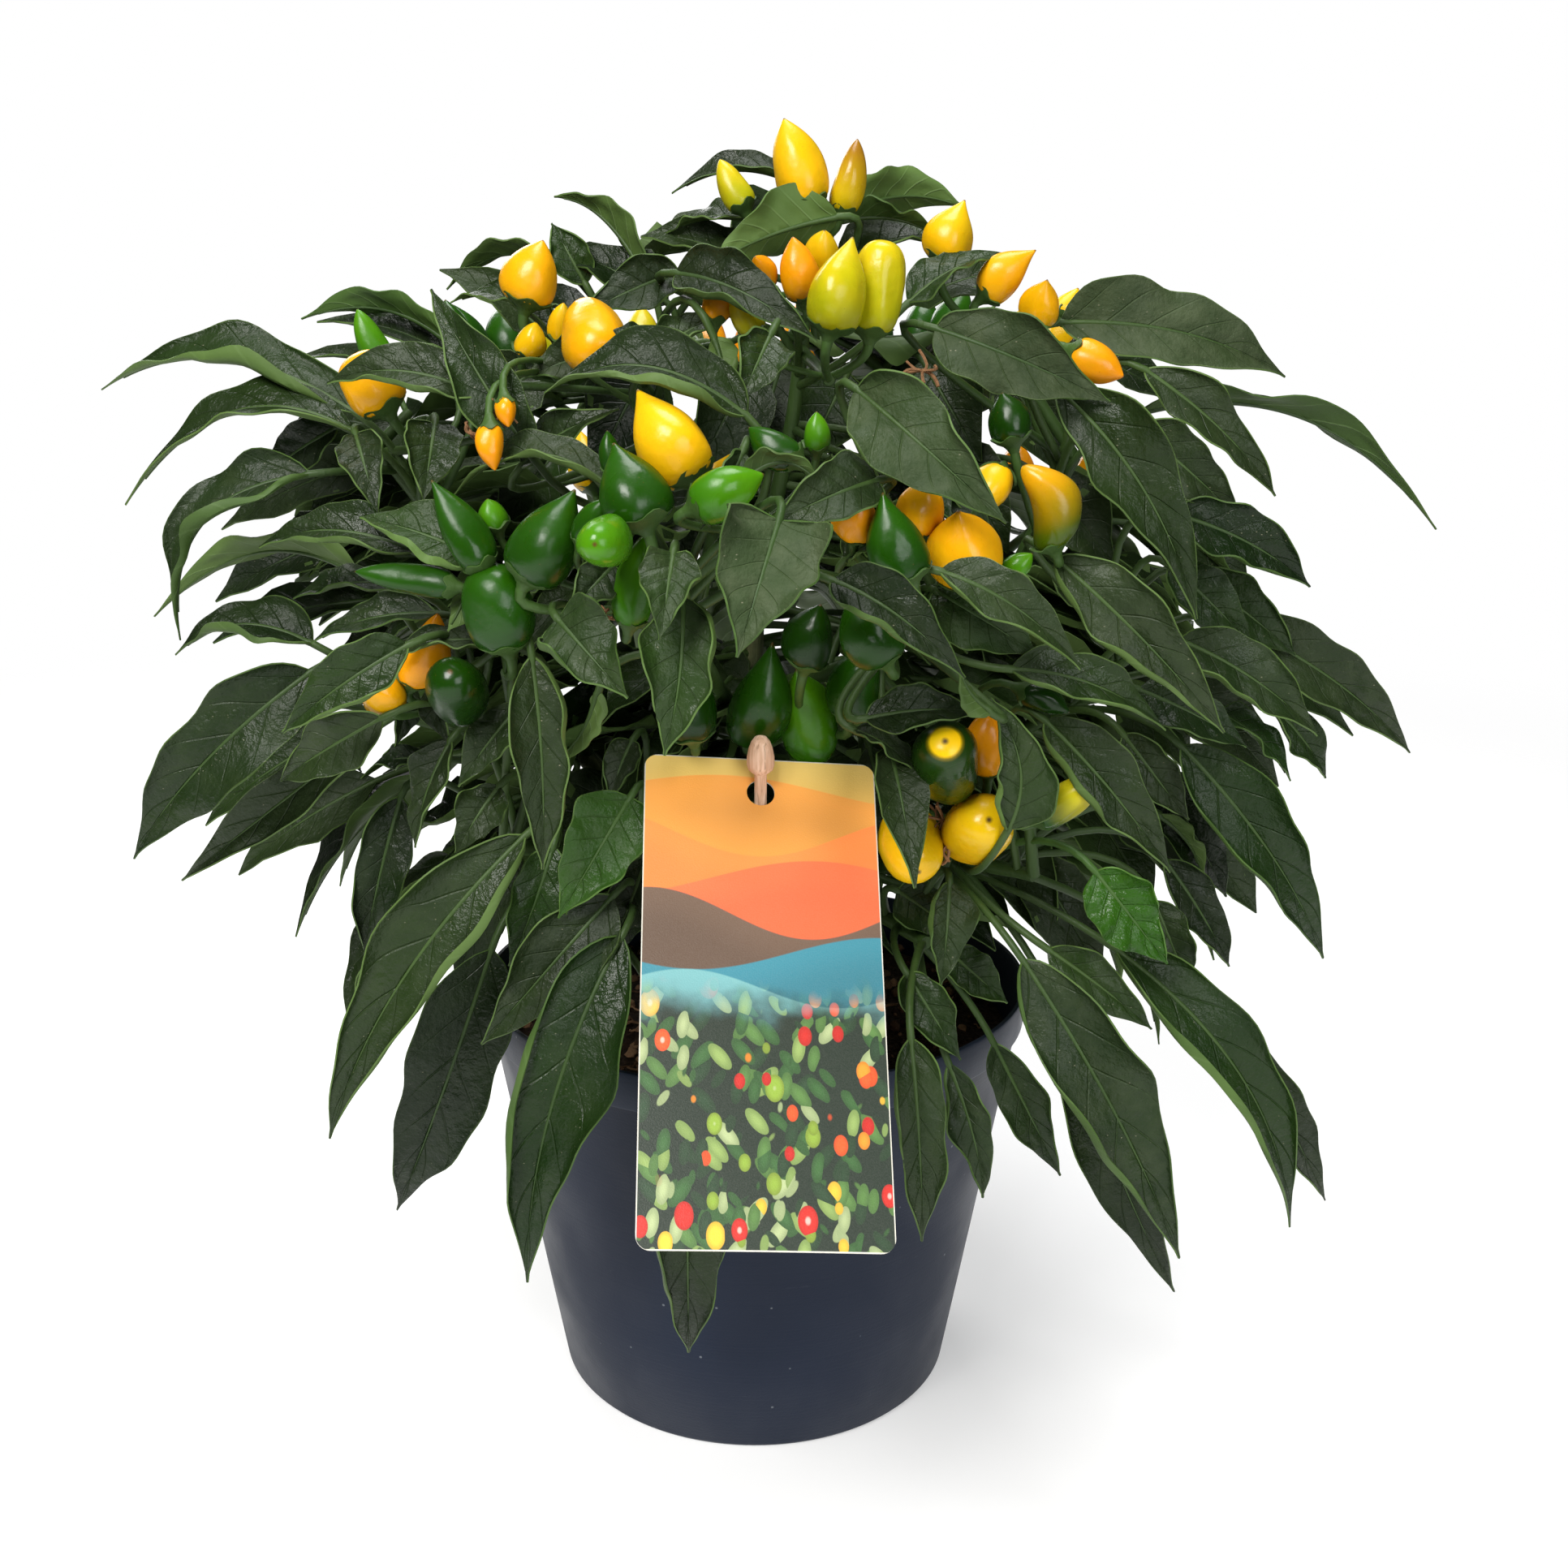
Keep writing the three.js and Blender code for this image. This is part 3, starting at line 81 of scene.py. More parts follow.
# How the curl changes along a margin: strength, radians from base to tip, and how far each leaf shifts it.
CURL_WAVES = [(0.3, 8, 1), (0.12, 21, 2)]
# Dents in a blade: strength, radians along it, shift for each leaf, radians across it, shift for each leaf.
BLADE_DENTS = [(0.45, 9, 1.1, 5, 0.7), (0.22, 23, 2, 9, 1)]
# The places of a leaf's three materials on its mesh.
TOP, UNDER, STALK = 0, 1, 2
PLAIN_TINT = (0, 0, 0, 1)

TWIG = {"radius": (2.8, 2), "root_step": 3.5, "bare_foot": 14, "root_depth": 0.4, "reach": 0.25,
        "bend": 0.45, "outward": 0.1}
FRUIT = {"stalk": 1.15, "main": (2, 1.6), "calyx_depth": 3, "stalk_step": 2.4, "first_stalk": 1,
         "last_stalk": 0.25, "stalk_bend": 0.25, "sides": 28, "lobe": 0.05, "spot": 4.9,
         "scar": (0.10, 0.05, 0.015)}
# About once round, in radians, for turns that are drawn.
WHOLE_TURN = 6.3

# A fruit's outline as two Bezier curves: where it is widest, where the two handles of the curve to its
# tip lie, how wide it still is at the second handle, and how far the fruit bows. All are shares of its
# length or width.
FRUIT_FORMS = {
    "cone": (0.33, 0.68, 0.86, 0.46, 0.06), "round": (0.44, 0.82, 1.0, 0.66, 0.02),
    "beaked": (0.31, 0.62, 0.78, 0.38, 0.07), "slim": (0.28, 0.66, 0.90, 0.46, 0.06),
    "banana": (0.28, 0.66, 0.95, 0.55, 0.2), "blunt": (0.38, 0.85, 1.0, 0.72, 0.04),
}
# Dents round a fruit: strength, how many, how its own turn shifts them, and how far they wind along it.
FRUIT_DENTS = [(0.035, 2, -2, 4), (0.018, 5, 3, 7)]
BLUNT_DENTS = (0.05, 7, 1, 2.5)
# A calyx from the stalk to the tips of its teeth and back under them: how far along the fruit each ring
# lies, its radius as a share of the fruit's, in stalk radii and in millimetres, and how far the teeth
# reach.
CALYX = [(-3.2, 0, 1.2, 0, 0), (-1.6, 0, 1.9, 0, 0), (-0.5, 0.2, 1.6, 0, 0), (0.25, 0.6, 0, 0.45, 0.2),
         (1.0, 0.76, 0, 0.5, 1.3), (1.3, 0.75, 0, -0.4, 1.3), (0.6, 0.4, 0, -0.5, 0)]
# How far the outer rings of a calyx lie above the fruit's skin, the inner ones below it, and from where.
CALYX_ABOVE, CALYX_BELOW, CALYX_HUGS_FROM = 0.45, 0.3, 0.3

# The trunk's limbs: points, then the radius at the foot and at the end.
LIMBS = {
    "stump": ([[0, 0, 104.5], [0, 0, 128], [1, 1, 150], [0, 0, 174]], [8, 5.6]),
    "left": ([[0, 1, 160], [-40, 8, 196], [-70, 6, 236]], [4.4, 3]),
    "right": ([[0, 1, 163], [42, 8, 200], [72, 4, 240]], [4.4, 3]),
    "frontLeft": ([[0, 0, 156], [-26, -21, 190], [-47, -38, 222]], [4, 2.6]),
    "frontRight": ([[0, 0, 154], [28, -23, 189], [50, -40, 220]], [4, 2.6]),
    "centre": ([[0, 0, 168], [-2, -6, 228], [1, -12, 292]], [4.6, 2.8]),
    "back": ([[0, 1, 158], [3, 36, 202], [0, 56, 246]], [4.2, 3]),
}

# The leafy stems that the photograph shows. A leaf's row gives x, z and forward of its base and of its
# tip, as seen against the mid-plane, its width, its roll in degrees, how far it bows aside and up, and
# how far each margin curls over.
FRONT_STEMS = {
    "left_upper": {
        "path": [[-58, 7, 221], [-77, -14, 268], [-98, -38, 308], [-112, -50, 330]],
        "leaves": [
            [-130, 338, 55, -211, 345, 30, 28, -62, 0, 5, 0, 0.8],
            [-131, 332, 64, -207, 308, 48, 22, -64, 3, 11, 0, 0.3],
            [-96, 358, 30, -145, 367, 15, 18, -112, 0, 3],
            [-88, 343, 88, -138, 347, 80, 20, -32, 0, 3, 0, 0.7], [-130, 331, 72, -124, 305, 88, 16, 0],
            [-104, 334, 76, -109, 309, 94, 20, 0], [-136, 333, 52, -160, 317, 42, 16, -20],
            [-146, 318, 72, -193, 263, 70, 27, -58, -8, 8, 0, 0.9],
        ],
    },
    "left_middle": {
        "path": [[-48, 8, 204], [-76, -28, 230], [-106, -62, 256]],
        "leaves": [
            [-113, 293, 92, -164, 294, 80, 19, -35, 0, 3, 0, 0.8],
            [-131, 285, 62, -201, 271, 40, 20, -116, 0, 7],
            [-149, 262, 72, -195, 258, 66, 22, -45, 0, 5, 0, 0.8], [-118, 281, 70, -154, 277, 60, 14, -55],
            [-107, 272, 84, -149, 262, 78, 16, -50], [-117, 261, 104, -161, 231, 104, 22, 0, 0, 2, 0, 0.8],
            [-86, 262, 94, -122, 258, 94, 17, -55], [-150, 252, 76, -216, 186, 70, 31, -8, -2, 3],
            [-127, 234, 62, -200, 178, 48, 19, -15, 0, -3], [-127, 236, 88, -163, 214, 78, 21, -10],
            [-146, 234, 46, -135, 217, 50, 12, 20], [-113, 222, 70, -130, 220, 66, 10, -30],
            [-88, 289, 102, -130, 304, 94, 26, -20, 0, 0, 0, 1], [-93, 288, 101, -103, 266, 109, 15, 150],
            [-118, 248, 66, -123, 226, 72, 12, 30], [-109, 247, 70, -104, 227, 78, 12, -25],
        ],
    },
    "left_lower": {
        "path": [[-26, -21, 190], [-56, -50, 206], [-78, -72, 212]],
        "leaves": [
            [-80, 194, 94, -155, 79, 92, 34, -8, -4, 6, 0, 0.9], [-93, 152, 70, -132, 50, 60, 34, 5],
            [-70, 190, 88, -87, 146, 90, 21, 10], [-88, 212, 86, -104, 188, 92, 17, -15],
            [-104, 228, 80, -118, 190, 84, 16, -35], [-122, 208, 62, -138, 150, 62, 20, -10],
            [-80, 240, 92, -102, 212, 96, 16, -15], [-75, 257, 114, -74, 182, 110, 24, 12, 0, 0, 0, 0.9],
            [-68, 132, 78, -86, 94, 86, 15, 20],
        ],
    },
    "front_left_low": {
        "path": [[-13, -10, 173], [-34, -46, 187], [-47, -72, 188]],
        "leaves": [
            [-47, 157, 98, -85, 20, 106, 41, -5, -6, 4, 0.8, 0], [-50, 172, 91, -98, 116, 97, 28, 0],
            [-43, 208, 86, -69, 164, 99, 29, 0], [-42, 228, 62, -50, 206, 74, 14, -20],
            [-38, 186, 74, -55, 145, 84, 18, 15], [-25, 88, 114, -25, -10, 96, 31, 0, 0, 0, 0.7, 0],
        ],
    },
    "front_centre": {
        "path": [[-1, -6, 232], [-10, -55, 256], [-18, -100, 282], [-24, -116, 296]],
        "leaves": [
            [8, 303, 150, -6, 257, 166, 42, 0, 0, 0, 0.3, 0.3], [-27, 292, 138, -32, 263, 152, 21, 0],
            [-24, 277, 134, -31, 223, 142, 30, 0, 2, 0, 0, 0.7],
            [-66, 270, 128, -43, 243, 142, 29, 0, 0, 0, 0.7, 0], [-47, 288, 122, -62, 273, 128, 16, 0],
            [-53, 245, 104, -68, 220, 108, 15, 112], [-45, 312, 109, -99, 311, 90, 18, -62, 0, 8, 0, 0.6],
            [-4, 325, 118, -18, 300, 128, 14, 20], [-3, 317, 124, 22, 315, 128, 14, 110, 0, 4],
            [40, 316, 122, 6, 302, 134, 24, -15], [-3, 337, 112, -68, 344, 104, 27, -35, 0, 8, 0, 1.1],
        ],
    },
    "front_right": {
        "path": [[0, -8, 248], [24, -52, 262], [44, -92, 282], [50, -104, 296]],
        "leaves": [
            [33, 345, 112, 83, 302, 132, 31, 5], [62, 286, 128, 110, 253, 128, 20, 20, 0, 3, 0.6, 0],
            [26, 283, 138, 71, 250, 146, 23, 12, 0, 3, 0.8, 0], [30, 290, 112, 50, 300, 118, 14, 45],
            [60, 280, 104, 95, 258, 108, 26, 5], [38, 236, 112, 78, 238, 110, 18, 30],
            [80, 238, 118, 69, 252, 122, 12, 115], [34, 232, 100, 55, 217, 104, 14, 60],
            [87, 253, 112, 140, 232, 108, 20, 25, 0, 3, 0.7, 0],
        ],
    },
    "right_upper": {
        "path": [[60, 6, 223], [80, -14, 280], [98, -34, 326]],
        "leaves": [
            [125, 338, 40, 225, 300, 30, 22, 108, 1, 7], [126, 351, 62, 171, 311, 60, 18, 30],
            [98, 366, 48, 171, 349, 36, 29, 20, 0, 3], [58, 364, 84, 115, 341, 92, 27, 12],
            [98, 345, 84, 148, 270, 92, 28, 8, 4, 4, 0.6, 0], [124, 333, 66, 160, 303, 62, 20, 10],
        ],
    },
    "right_middle": {
        "path": [[50, 8, 208], [84, -30, 236], [116, -50, 268]],
        "leaves": [
            [138, 305, 70, 185, 281, 66, 22, 15, 0, 2, 0.6, 0], [138, 288, 60, 168, 260, 62, 18, 10],
            [146, 285, 48, 182, 258, 44, 20, 10], [160, 269, 40, 224, 224, 24, 23, 12, 0, 3],
            [143, 263, 66, 192, 230, 64, 23, 15, 0, 2, 0.6, 0],
            [100, 290, 102, 160, 231, 106, 27, 5, 0, 2, 1, 0], [130, 246, 78, 168, 226, 78, 19, 20],
            [158, 238, 52, 184, 214, 50, 16, 60], [176, 240, 30, 196, 215, 26, 14, 30],
            [146, 226, 70, 201, 149, 60, 28, 8, 2, 3, 0.6, 0], [126, 230, 64, 150, 200, 64, 17, 0],
        ],
    },
    "right_lower": {
        "path": [[28, -23, 189], [60, -54, 204], [84, -76, 205]],
        "leaves": [
            [99, 235, 98, 145, 181, 98, 25, 6, 0, 2, 0.9, 0], [140, 202, 54, 157, 179, 54, 12, 110],
            [138, 217, 44, 165, 172, 42, 22, 10], [119, 181, 96, 146, 147, 100, 25, 0],
            [143, 185, 58, 168, 146, 56, 17, 15], [140, 170, 66, 155, 137, 68, 17, 0],
            [95, 148, 104, 158, 30, 108, 37, 0, 2, 4, 0.9, 0], [112, 120, 86, 157, 16, 86, 24, -10],
            [128, 152, 78, 198, 43, 74, 30, 18, 6, 8, 1, 0], [172, 120, 60, 210, 54, 52, 18, 10],
            [104, 152, 86, 142, 122, 86, 17, 10], [88, 197, 108, 80, 243, 106, 24, -10, 6, 0, 0, 0.8],
        ],
    },
    "front_right_low": {
        "path": [[15, -12, 172], [38, -50, 185], [52, -78, 184]],
        "leaves": [
            [39, 226, 54, 56, 173, 66, 14, -10], [86, 116, 80, 112, 64, 82, 18, 0],
            [70, 108, 96, 84, 55, 98, 17, -20, 4, 0, 0.9, 0],
            [56, 118, 108, 62, 37, 112, 22, 8, 0, 0, 0.6, 0.3], [54, 143, 92, 74, 110, 100, 18, 0],
            [68, 177, 84, 66, 139, 92, 19, 10, 0, 0, 0.8, 0], [50, 174, 70, 74, 156, 76, 20, 10],
            [68, 152, 70, 90, 132, 74, 16, 0],
        ],
    },
    "top_left": {
        "path": [[0, -10, 276], [-18, -18, 326], [-42, -30, 356]],
        "leaves": [
            [-73, 324, 92, -103, 376, 74, 21, 10, 0, 0, 0, 0.6],
            [-63, 360, 50, -97, 372, 40, 17, -65, 0, 4], [-60, 382, 20, -98, 376, 5, 18, -108, 0, 4],
            [-54, 378, 30, -64, 396, 25, 14, 0], [-34, 379, 35, -63, 404, 25, 19, -112, -2, 4],
            [-50, 356, 66, -74, 349, 70, 16, -20], [-13, 361, 86, -9, 346, 94, 12, 160],
            [-31, 357, 92, -49, 361, 94, 14, -55], [-32, 356, 66, -9, 368, 62, 14, 40],
            [-80, 346, 64, -96, 340, 70, 13, -100], [-76, 321, 78, -44, 339, 86, 16, 40],
        ],
    },
    "top_right": {
        "path": [[1, -11, 286], [12, -18, 334], [16, -24, 376]],
        "leaves": [
            [5, 362, 96, -5, 341, 108, 19, 0, 0, 0, 0.6, 0],
            [-25, 381, 72, 20, 360, 90, 22, 20, 0, 2, 0.7, 0], [-24, 381, 54, -57, 367, 62, 18, -20],
            [-4, 398, 30, -30, 392, 25, 15, -75], [19, 405, 20, -26, 405, 10, 17, -68, 0, 3],
            [26, 398, 50, -13, 384, 60, 24, -150], [27, 397, 36, 57, 393, 30, 18, 100],
            [29, 399, 24, 66, 401, 12, 21, 140, 0, 2], [49, 372, 54, 79, 387, 46, 17, 60],
        ],
    },
}

# The fruit bunches that the photograph shows: the stem that each grows from and, where it isn't the
# nearest place, how far along it, then where the bunch's stalk ends. A fruit's row gives x, z and forward
# of its stalk end and of its tip, and its diameter.
FRONT_BUNCHES = {
    "crown": {"stem": "top_right", "hub": [10, 390, 36], "fruits": [
        [17, 401, 45, 9, 427, 45, 17], [27, 399, 40, 32, 421, 40, 10.5], [-3, 400, 40, -11, 415, 38, 10]]},
    "top": {"stem": "top_right", "at": 0.84, "hub": [6, 376, 48], "fruits": [
        [16, 373, 72, 12, 392, 76, 13], [22, 382, 62, 22, 394, 70, 11], [4, 378, 70, 0, 386, 80, 8],
        [-13, 366, 75, -11, 386, 77, 10]]},
    "top_lime": {"stem": "top_right", "hub": [24, 348, 70], "fruits": [
        [24, 363, 88, 31, 392, 88, 19], [37, 362, 80, 41, 391, 80, 17.5], [0, 362, 78, -6, 378, 82, 10]]},
    "top_east": {"stem": "right_upper", "hub": [82, 356, 50], "fruits": [
        [60, 384, 40, 66, 403, 40, 16], [73, 374, 46, 89, 388, 50, 13], [91, 366, 52, 93, 379, 60, 13],
        [97, 367, 44, 111, 372, 44, 8], [102, 357, 62, 119, 349, 68, 13]]},
    "top_west": {"stem": "top_left", "hub": [-62, 345, 52], "fruits": [
        [-73, 371, 58, -67, 391, 58, 18], [-53, 367, 71, -50, 355, 97, 21],
        [-74, 356, 60, -70, 366, 64, 10], [-63, 360, 58, -61, 372, 62, 8],
        [-86, 334, 102, -85, 319, 106, 9], [-81, 342, 100, -80, 333, 104, 7]]},
    "west_yellow": {"stem": "left_upper", "at": 0.84, "hub": [-110, 328, 60], "fruits": [
        [-119, 338, 66, -129, 356, 66, 19.5]]},
    "west_green": {"stem": "left_upper", "hub": [-112, 338, 44], "fruits": [
        [-119, 352, 40, -127, 370, 40, 10]]},
    "front_yellow": {"stem": "front_centre", "at": 0.78, "hub": [-14, 300, 106], "fruits": [
        [-20, 316, 120, -38, 345, 116, 23.5]]},
    "front_green": {"stem": "front_centre", "hub": [-48, 278, 100], "fruits": [
        [-36, 301, 132, -46, 328, 128, 24.5], [-46, 318, 112, -48, 332, 112, 8],
        [-42, 268, 121, -36, 298, 123, 14], [-57, 295, 124, -49, 310, 130, 11],
        [-47, 296, 132, -53, 295, 158, 17.5], [-76, 283, 118, -59, 313, 116, 23.5],
        [-85, 300, 104, -88, 310, 106, 10]]},
    "centre_green": {"stem": "front_centre", "hub": [0, 300, 108], "fruits": [
        [-20, 307, 134, 3, 318, 136, 17], [14, 322, 116, -2, 333, 114, 12],
        [20, 326, 112, 20, 338, 116, 9]]},
    "west_low_green": {"stem": "left_middle", "at": 0.5, "hub": [-84, 252, 92], "fruits": [
        [-90, 287, 112, -106, 316, 110, 15.5], [-83, 260, 110, -89, 288, 112, 23.5],
        [-100, 281, 107, -133, 286, 103, 11]]},
    "low_green": {"stem": "front_centre", "hub": [-24, 236, 62], "fruits": [
        [-21, 229, 84, -25, 253, 88, 19.5]]},
    "east_orange": {"stem": "front_right", "at": 1, "hub": [58, 284, 88], "fruits": [
        [33, 298, 119, 35, 311, 127, 15], [54, 300, 106, 57, 316, 112, 16],
        [72, 284, 112, 67, 306, 122, 26], [80, 318, 98, 75, 308, 108, 14]]},
    "east_green": {"stem": "front_right", "hub": [42, 262, 92], "fruits": [
        [52, 284, 128, 42, 312, 130, 19], [44, 256, 118, 32, 278, 122, 20]]},
    "east_bud": {"stem": "front_right", "at": 0.8, "hub": [84, 264, 98], "fruits": [
        [84, 284, 108, 92, 292, 112, 9]]},
    "east_olive": {"stem": "right_upper", "at": 0.45, "hub": [94, 300, 84], "fruits": [
        [99, 294, 107, 88, 321, 109, 17], [84, 328, 96, 80, 344, 96, 14]]},
    "middle_green": {"stem": "front_right", "hub": [16, 232, 48], "fruits": [
        [-2, 229, 66, 6, 262, 80, 21.5], [20, 223, 63, 14, 253, 78, 20.5], [17, 254, 90, 22, 275, 94, 17],
        [33, 236, 77, 38, 261, 83, 19]]},
    "west_low_orange": {"stem": "left_middle", "at": 0.8, "hub": [-110, 240, 70], "fruits": [
        [-116, 248, 82, -106, 272, 88, 15], [-124, 240, 79, -131, 252, 89, 15]]},
    "west_dark": {"stem": "left_middle", "at": 0.35, "hub": [-90, 234, 84], "fruits": [
        [-98, 240, 90, -103, 252, 112, 20]]},
    "east_low_green": {"stem": "front_right", "hub": [68, 226, 66], "fruits": [
        [66, 213, 88, 65, 228, 116, 24], [90, 246, 96, 107, 238, 100, 10]]},
    "east_low_yellow": {"stem": "front_right_low", "hub": [74, 202, 62], "fruits": [
        [80, 217, 87, 80, 240, 91, 16], [52, 200, 76, 57, 181, 100, 22], [73, 193, 77, 81, 200, 105, 24]]},
    "east_low_lime": {"stem": "right_lower", "hub": [94, 208, 82], "fruits": [
        [97, 200, 98, 116, 213, 102, 13]]},
}

# Leaves that differ from the plain dark green ones: stem, place in its table, and the look. fresh and
# mild are younger greens, and bright is a glossy, crinkled light green. dusty, heart and broad have a
# grey bloom, and heart and broad are widest near the stalk.
LEAF_LOOKS = {
    ("front_left_low", 2): "fresh", ("right_lower", 3): "bright", ("front_centre", 2): "mild",
    ("top_left", 5): "dusty", ("left_upper", 2): "mild", ("front_right", 4): "mild",
    ("left_lower", 2): "mild", ("right_middle", 7): "mild", ("top_right", 5): "mild",
    ("top_right", 7): "mild", ("right_upper", 2): "dusty", ("right_upper", 3): "dusty",
    ("front_right", 0): "dusty", ("left_middle", 12): "mild", ("front_centre", 0): "heart",
    ("front_centre", 3): "broad", ("front_centre", 1): "broad",
}

# Freshness and dust from 0 to 1, how strongly the blade is crinkled, and the power of its outline near the
# stalk: the smaller it is, the nearer to the stalk the blade is widest.
LOOK_TINTS = {
    "plain": (0.0, 0.0, 1.0, 0.62), "mild": (0.16, 0.1, 1.0, 0.62), "fresh": (0.5, 0.0, 1.5, 0.55),
    "bright": (0.72, 0.0, 3.6, 0.6), "dusty": (0.05, 0.7, 1.0, 0.62), "heart": (0.12, 1.0, 1.4, 0.36),
    "broad": (0.05, 0.4, 1.2, 0.45),
}

# The back of the plant, by the same rule as in the part's source: how far each leaf's place, height,
# direction, width and roll are spread, and for each margin the chance that it curls, how far then, and
# how far otherwise.
REAR = {
    "seed": 11, "first_leaf": 200, "stem_angles": [14, 52, 90, 128, 166], "tier_shift": 0.12,
    "place_spread": 0.16, "lift_spread": 7, "tip_lift": 1.6, "swing_spread": 9, "width_spread": 0.2,
    "roll_spread": 30, "curls": [(0.4, 0.8, 0.1), (0.3, 0.7, 0)],
    "stem_rise": [(36, 204), (74, 236), (84, 286), (62, 336), (34, 358)],
    "tiers": [
        # count, from, base radius, base z, tip radius, tip z, width
        (4, -4, 26, 362, 84, 372, 30),
        (7, -4, 62, 346, 126, 326, 32),
        (10, -4, 88, 312, 150, 272, 34),
        (11, -6, 102, 268, 162, 218, 34),
        (13, -20, 104, 226, 156, 170, 34),
        (11, -18, 103, 190, 142, 122, 33),
    ],
}
# Its fruit bunches: angle, radius, height and skin.
REAR_BUNCHES = [
    (14, 98, 350, "yellow"), (52, 96, 352, "green"), (90, 98, 350, "orange"), (128, 96, 352, "lime"),
    (166, 98, 350, "green"), (33, 134, 300, "orange"), (109, 134, 300, "yellow"),
]
REAR_FRUIT = {"fan": 10, "fan_spread": 4, "lean": 7, "length": 25, "diameter": 16, "size_spread": 0.3,
              "height_spread": 5, "hub_inward": 12, "hub_below": 8, "stagger": 3, "stalk_step": 0.1}

# Small leaves inside the plant: how far to the side their tips reach at each level, and what share of
# that to the front and to the back.
INNER = {
    "seed": 23, "first_leaf": 400, "first_behind": 800, "count": 420, "length": 50, "width": 27, "clear": 6,
    "grid": (9, 3), "front": 0.46, "back": 0.6, "roll_spread": 50, "curl": 0.7, "curl_chance": 0.3,
    "levels": [160, 185, 215, 250, 285, 320, 345, 362, 378],
    "reach": [112, 128, 145, 160, 160, 148, 134, 108, 62],
}

# Leaves behind the front ones that show between and beside them: x, z and forward of the base and of the
# tip, as seen against the mid-plane, then the width and roll.
BEHIND = [
    [46, 226, 96, 56, 175, 122, 20, 10], [-28, 372, 30, -62, 388, 24, 20, -30],
    [-2, 384, 30, -36, 392, 24, 18, -50], [26, 384, 30, 64, 392, 20, 22, 60],
    [50, 372, 20, 86, 382, 10, 20, 40], [-66, 362, 20, -100, 382, 12, 18, -40],
    [-50, 366, 20, -84, 372, 10, 18, -60], [-92, 352, 20, -140, 366, 8, 18, -60],
    [-100, 346, 30, -150, 354, 16, 18, -60], [30, 350, 0, 14, 318, 10, 27, 0],
    [-2, 352, 0, -20, 318, 10, 27, 10], [-34, 352, -10, -54, 316, 0, 27, -10],
    [8, 352, -10, -2, 316, 0, 26, 0], [54, 354, 0, 74, 322, 10, 27, 0], [80, 350, 0, 104, 316, 10, 25, 10],
    [100, 358, 10, 136, 340, 10, 22, 40], [92, 318, 10, 120, 286, 20, 25, 20],
    [-112, 334, 10, -146, 306, 10, 24, -30], [-108, 318, 10, -150, 288, 10, 24, -30],
    [-104, 296, 10, -146, 268, 10, 24, -30], [-112, 350, 0, -154, 322, 0, 20, -40],
    [84, 200, 20, 106, 152, 40, 26, 10], [110, 214, 20, 140, 166, 30, 28, 10],
    [96, 186, 30, 124, 140, 40, 26, 10], [140, 206, 10, 176, 166, 10, 26, 20],
    [140, 250, 0, 180, 212, 0, 26, 20], [126, 312, 0, 166, 276, 0, 26, 30],
    [118, 256, 0, 150, 216, 10, 26, 20], [-84, 190, 30, -106, 140, 40, 26, -10],
    [-140, 232, 20, -190, 198, 20, 24, -30], [-130, 214, 20, -180, 180, 20, 22, -30],
    [-128, 300, 20, -180, 276, 20, 22, -30], [-124, 322, 20, -176, 300, 20, 20, -30],
    [-130, 276, 20, -182, 262, 20, 18, -40], [150, 262, 0, 204, 230, 0, 18, 30],
    [-70, 352, 0, -98, 326, 0, 25, -20], [-60, 330, 0, -84, 300, 0, 25, -20],
    [62, 326, 0, 84, 292, 10, 25, 10], [20, 318, 0, 8, 284, 10, 26, 0], [-20, 316, 0, -34, 282, 10, 26, 0],
]

# Brown dried remains of flowers: x, z and forward in the view, and the size.
HUSKS = [(65, 200, 88, 9), (67, 191, 92, 7), (-51, 271, 120, 5), (54, 351, 84, 7), (-83, 336, 98, 6),
         (-92, 331, 96, 5)]

# Fruit skins: colour at the stalk end and at the tip.
SKINS = {
    "yellow": ((0.76, 0.41, 0.002), (0.78, 0.45, 0.004)),
    "gold": ((0.78, 0.37, 0.002), (0.78, 0.35, 0.002)),
    "orange": ((0.78, 0.31, 0.002), (0.76, 0.26, 0.002)),
    "lime": ((0.36, 0.35, 0.003), (0.60, 0.45, 0.006)),
    "half": ((0.012, 0.060, 0.001), (0.56, 0.48, 0.008)),
    "green": ((0.009, 0.047, 0.001), (0.014, 0.070, 0.001)),
    "bright": ((0.035, 0.15, 0.002), (0.065, 0.22, 0.003)),
    "dark": ((0.005, 0.026, 0.001), (0.008, 0.038, 0.001)),
    "olive": ((0.05, 0.085, 0.001), (0.62, 0.30, 0.003)),
    "tipped": ((0.010, 0.036, 0.001), (0.92, 0.56, 0.004)),
    "speckled": ((0.58, 0.40, 0.004), (0.28, 0.13, 0.006)),
}

# The skin and form of each fruit of a front bunch, in its table's order. An unnamed form is a cone.
FRUIT_LOOKS = {
    "crown": "yellow speckled:slim lime:slim", "top": "orange yellow orange orange",
    "top_lime": "lime:beaked lime:blunt lime",
    "top_east": "yellow:beaked gold:beaked gold:beaked yellow orange",
    "top_west": "gold gold:round yellow yellow orange orange", "west_yellow": "gold:round",
    "west_green": "bright:slim", "front_yellow": "yellow:beaked",
    "front_green": "green:beaked green bright:slim green bright:round green:beaked bright",
    "centre_green": "bright green bright", "west_low_green": "green:beaked green:round green:slim",
    "low_green": "dark", "east_orange": "orange gold gold:beaked yellow",
    "east_green": "green:beaked green", "east_bud": "bright", "east_olive": "olive:banana dark",
    "middle_green": "green:beaked bright:beaked dark green", "west_low_orange": "orange gold",
    "west_dark": "dark:round", "east_low_green": "tipped:round dark",
    "east_low_yellow": "orange yellow:round yellow:round", "east_low_lime": "half:blunt",
}


# ---- Small helpers ----

def vector(*numbers):
    return np.array(numbers, float)


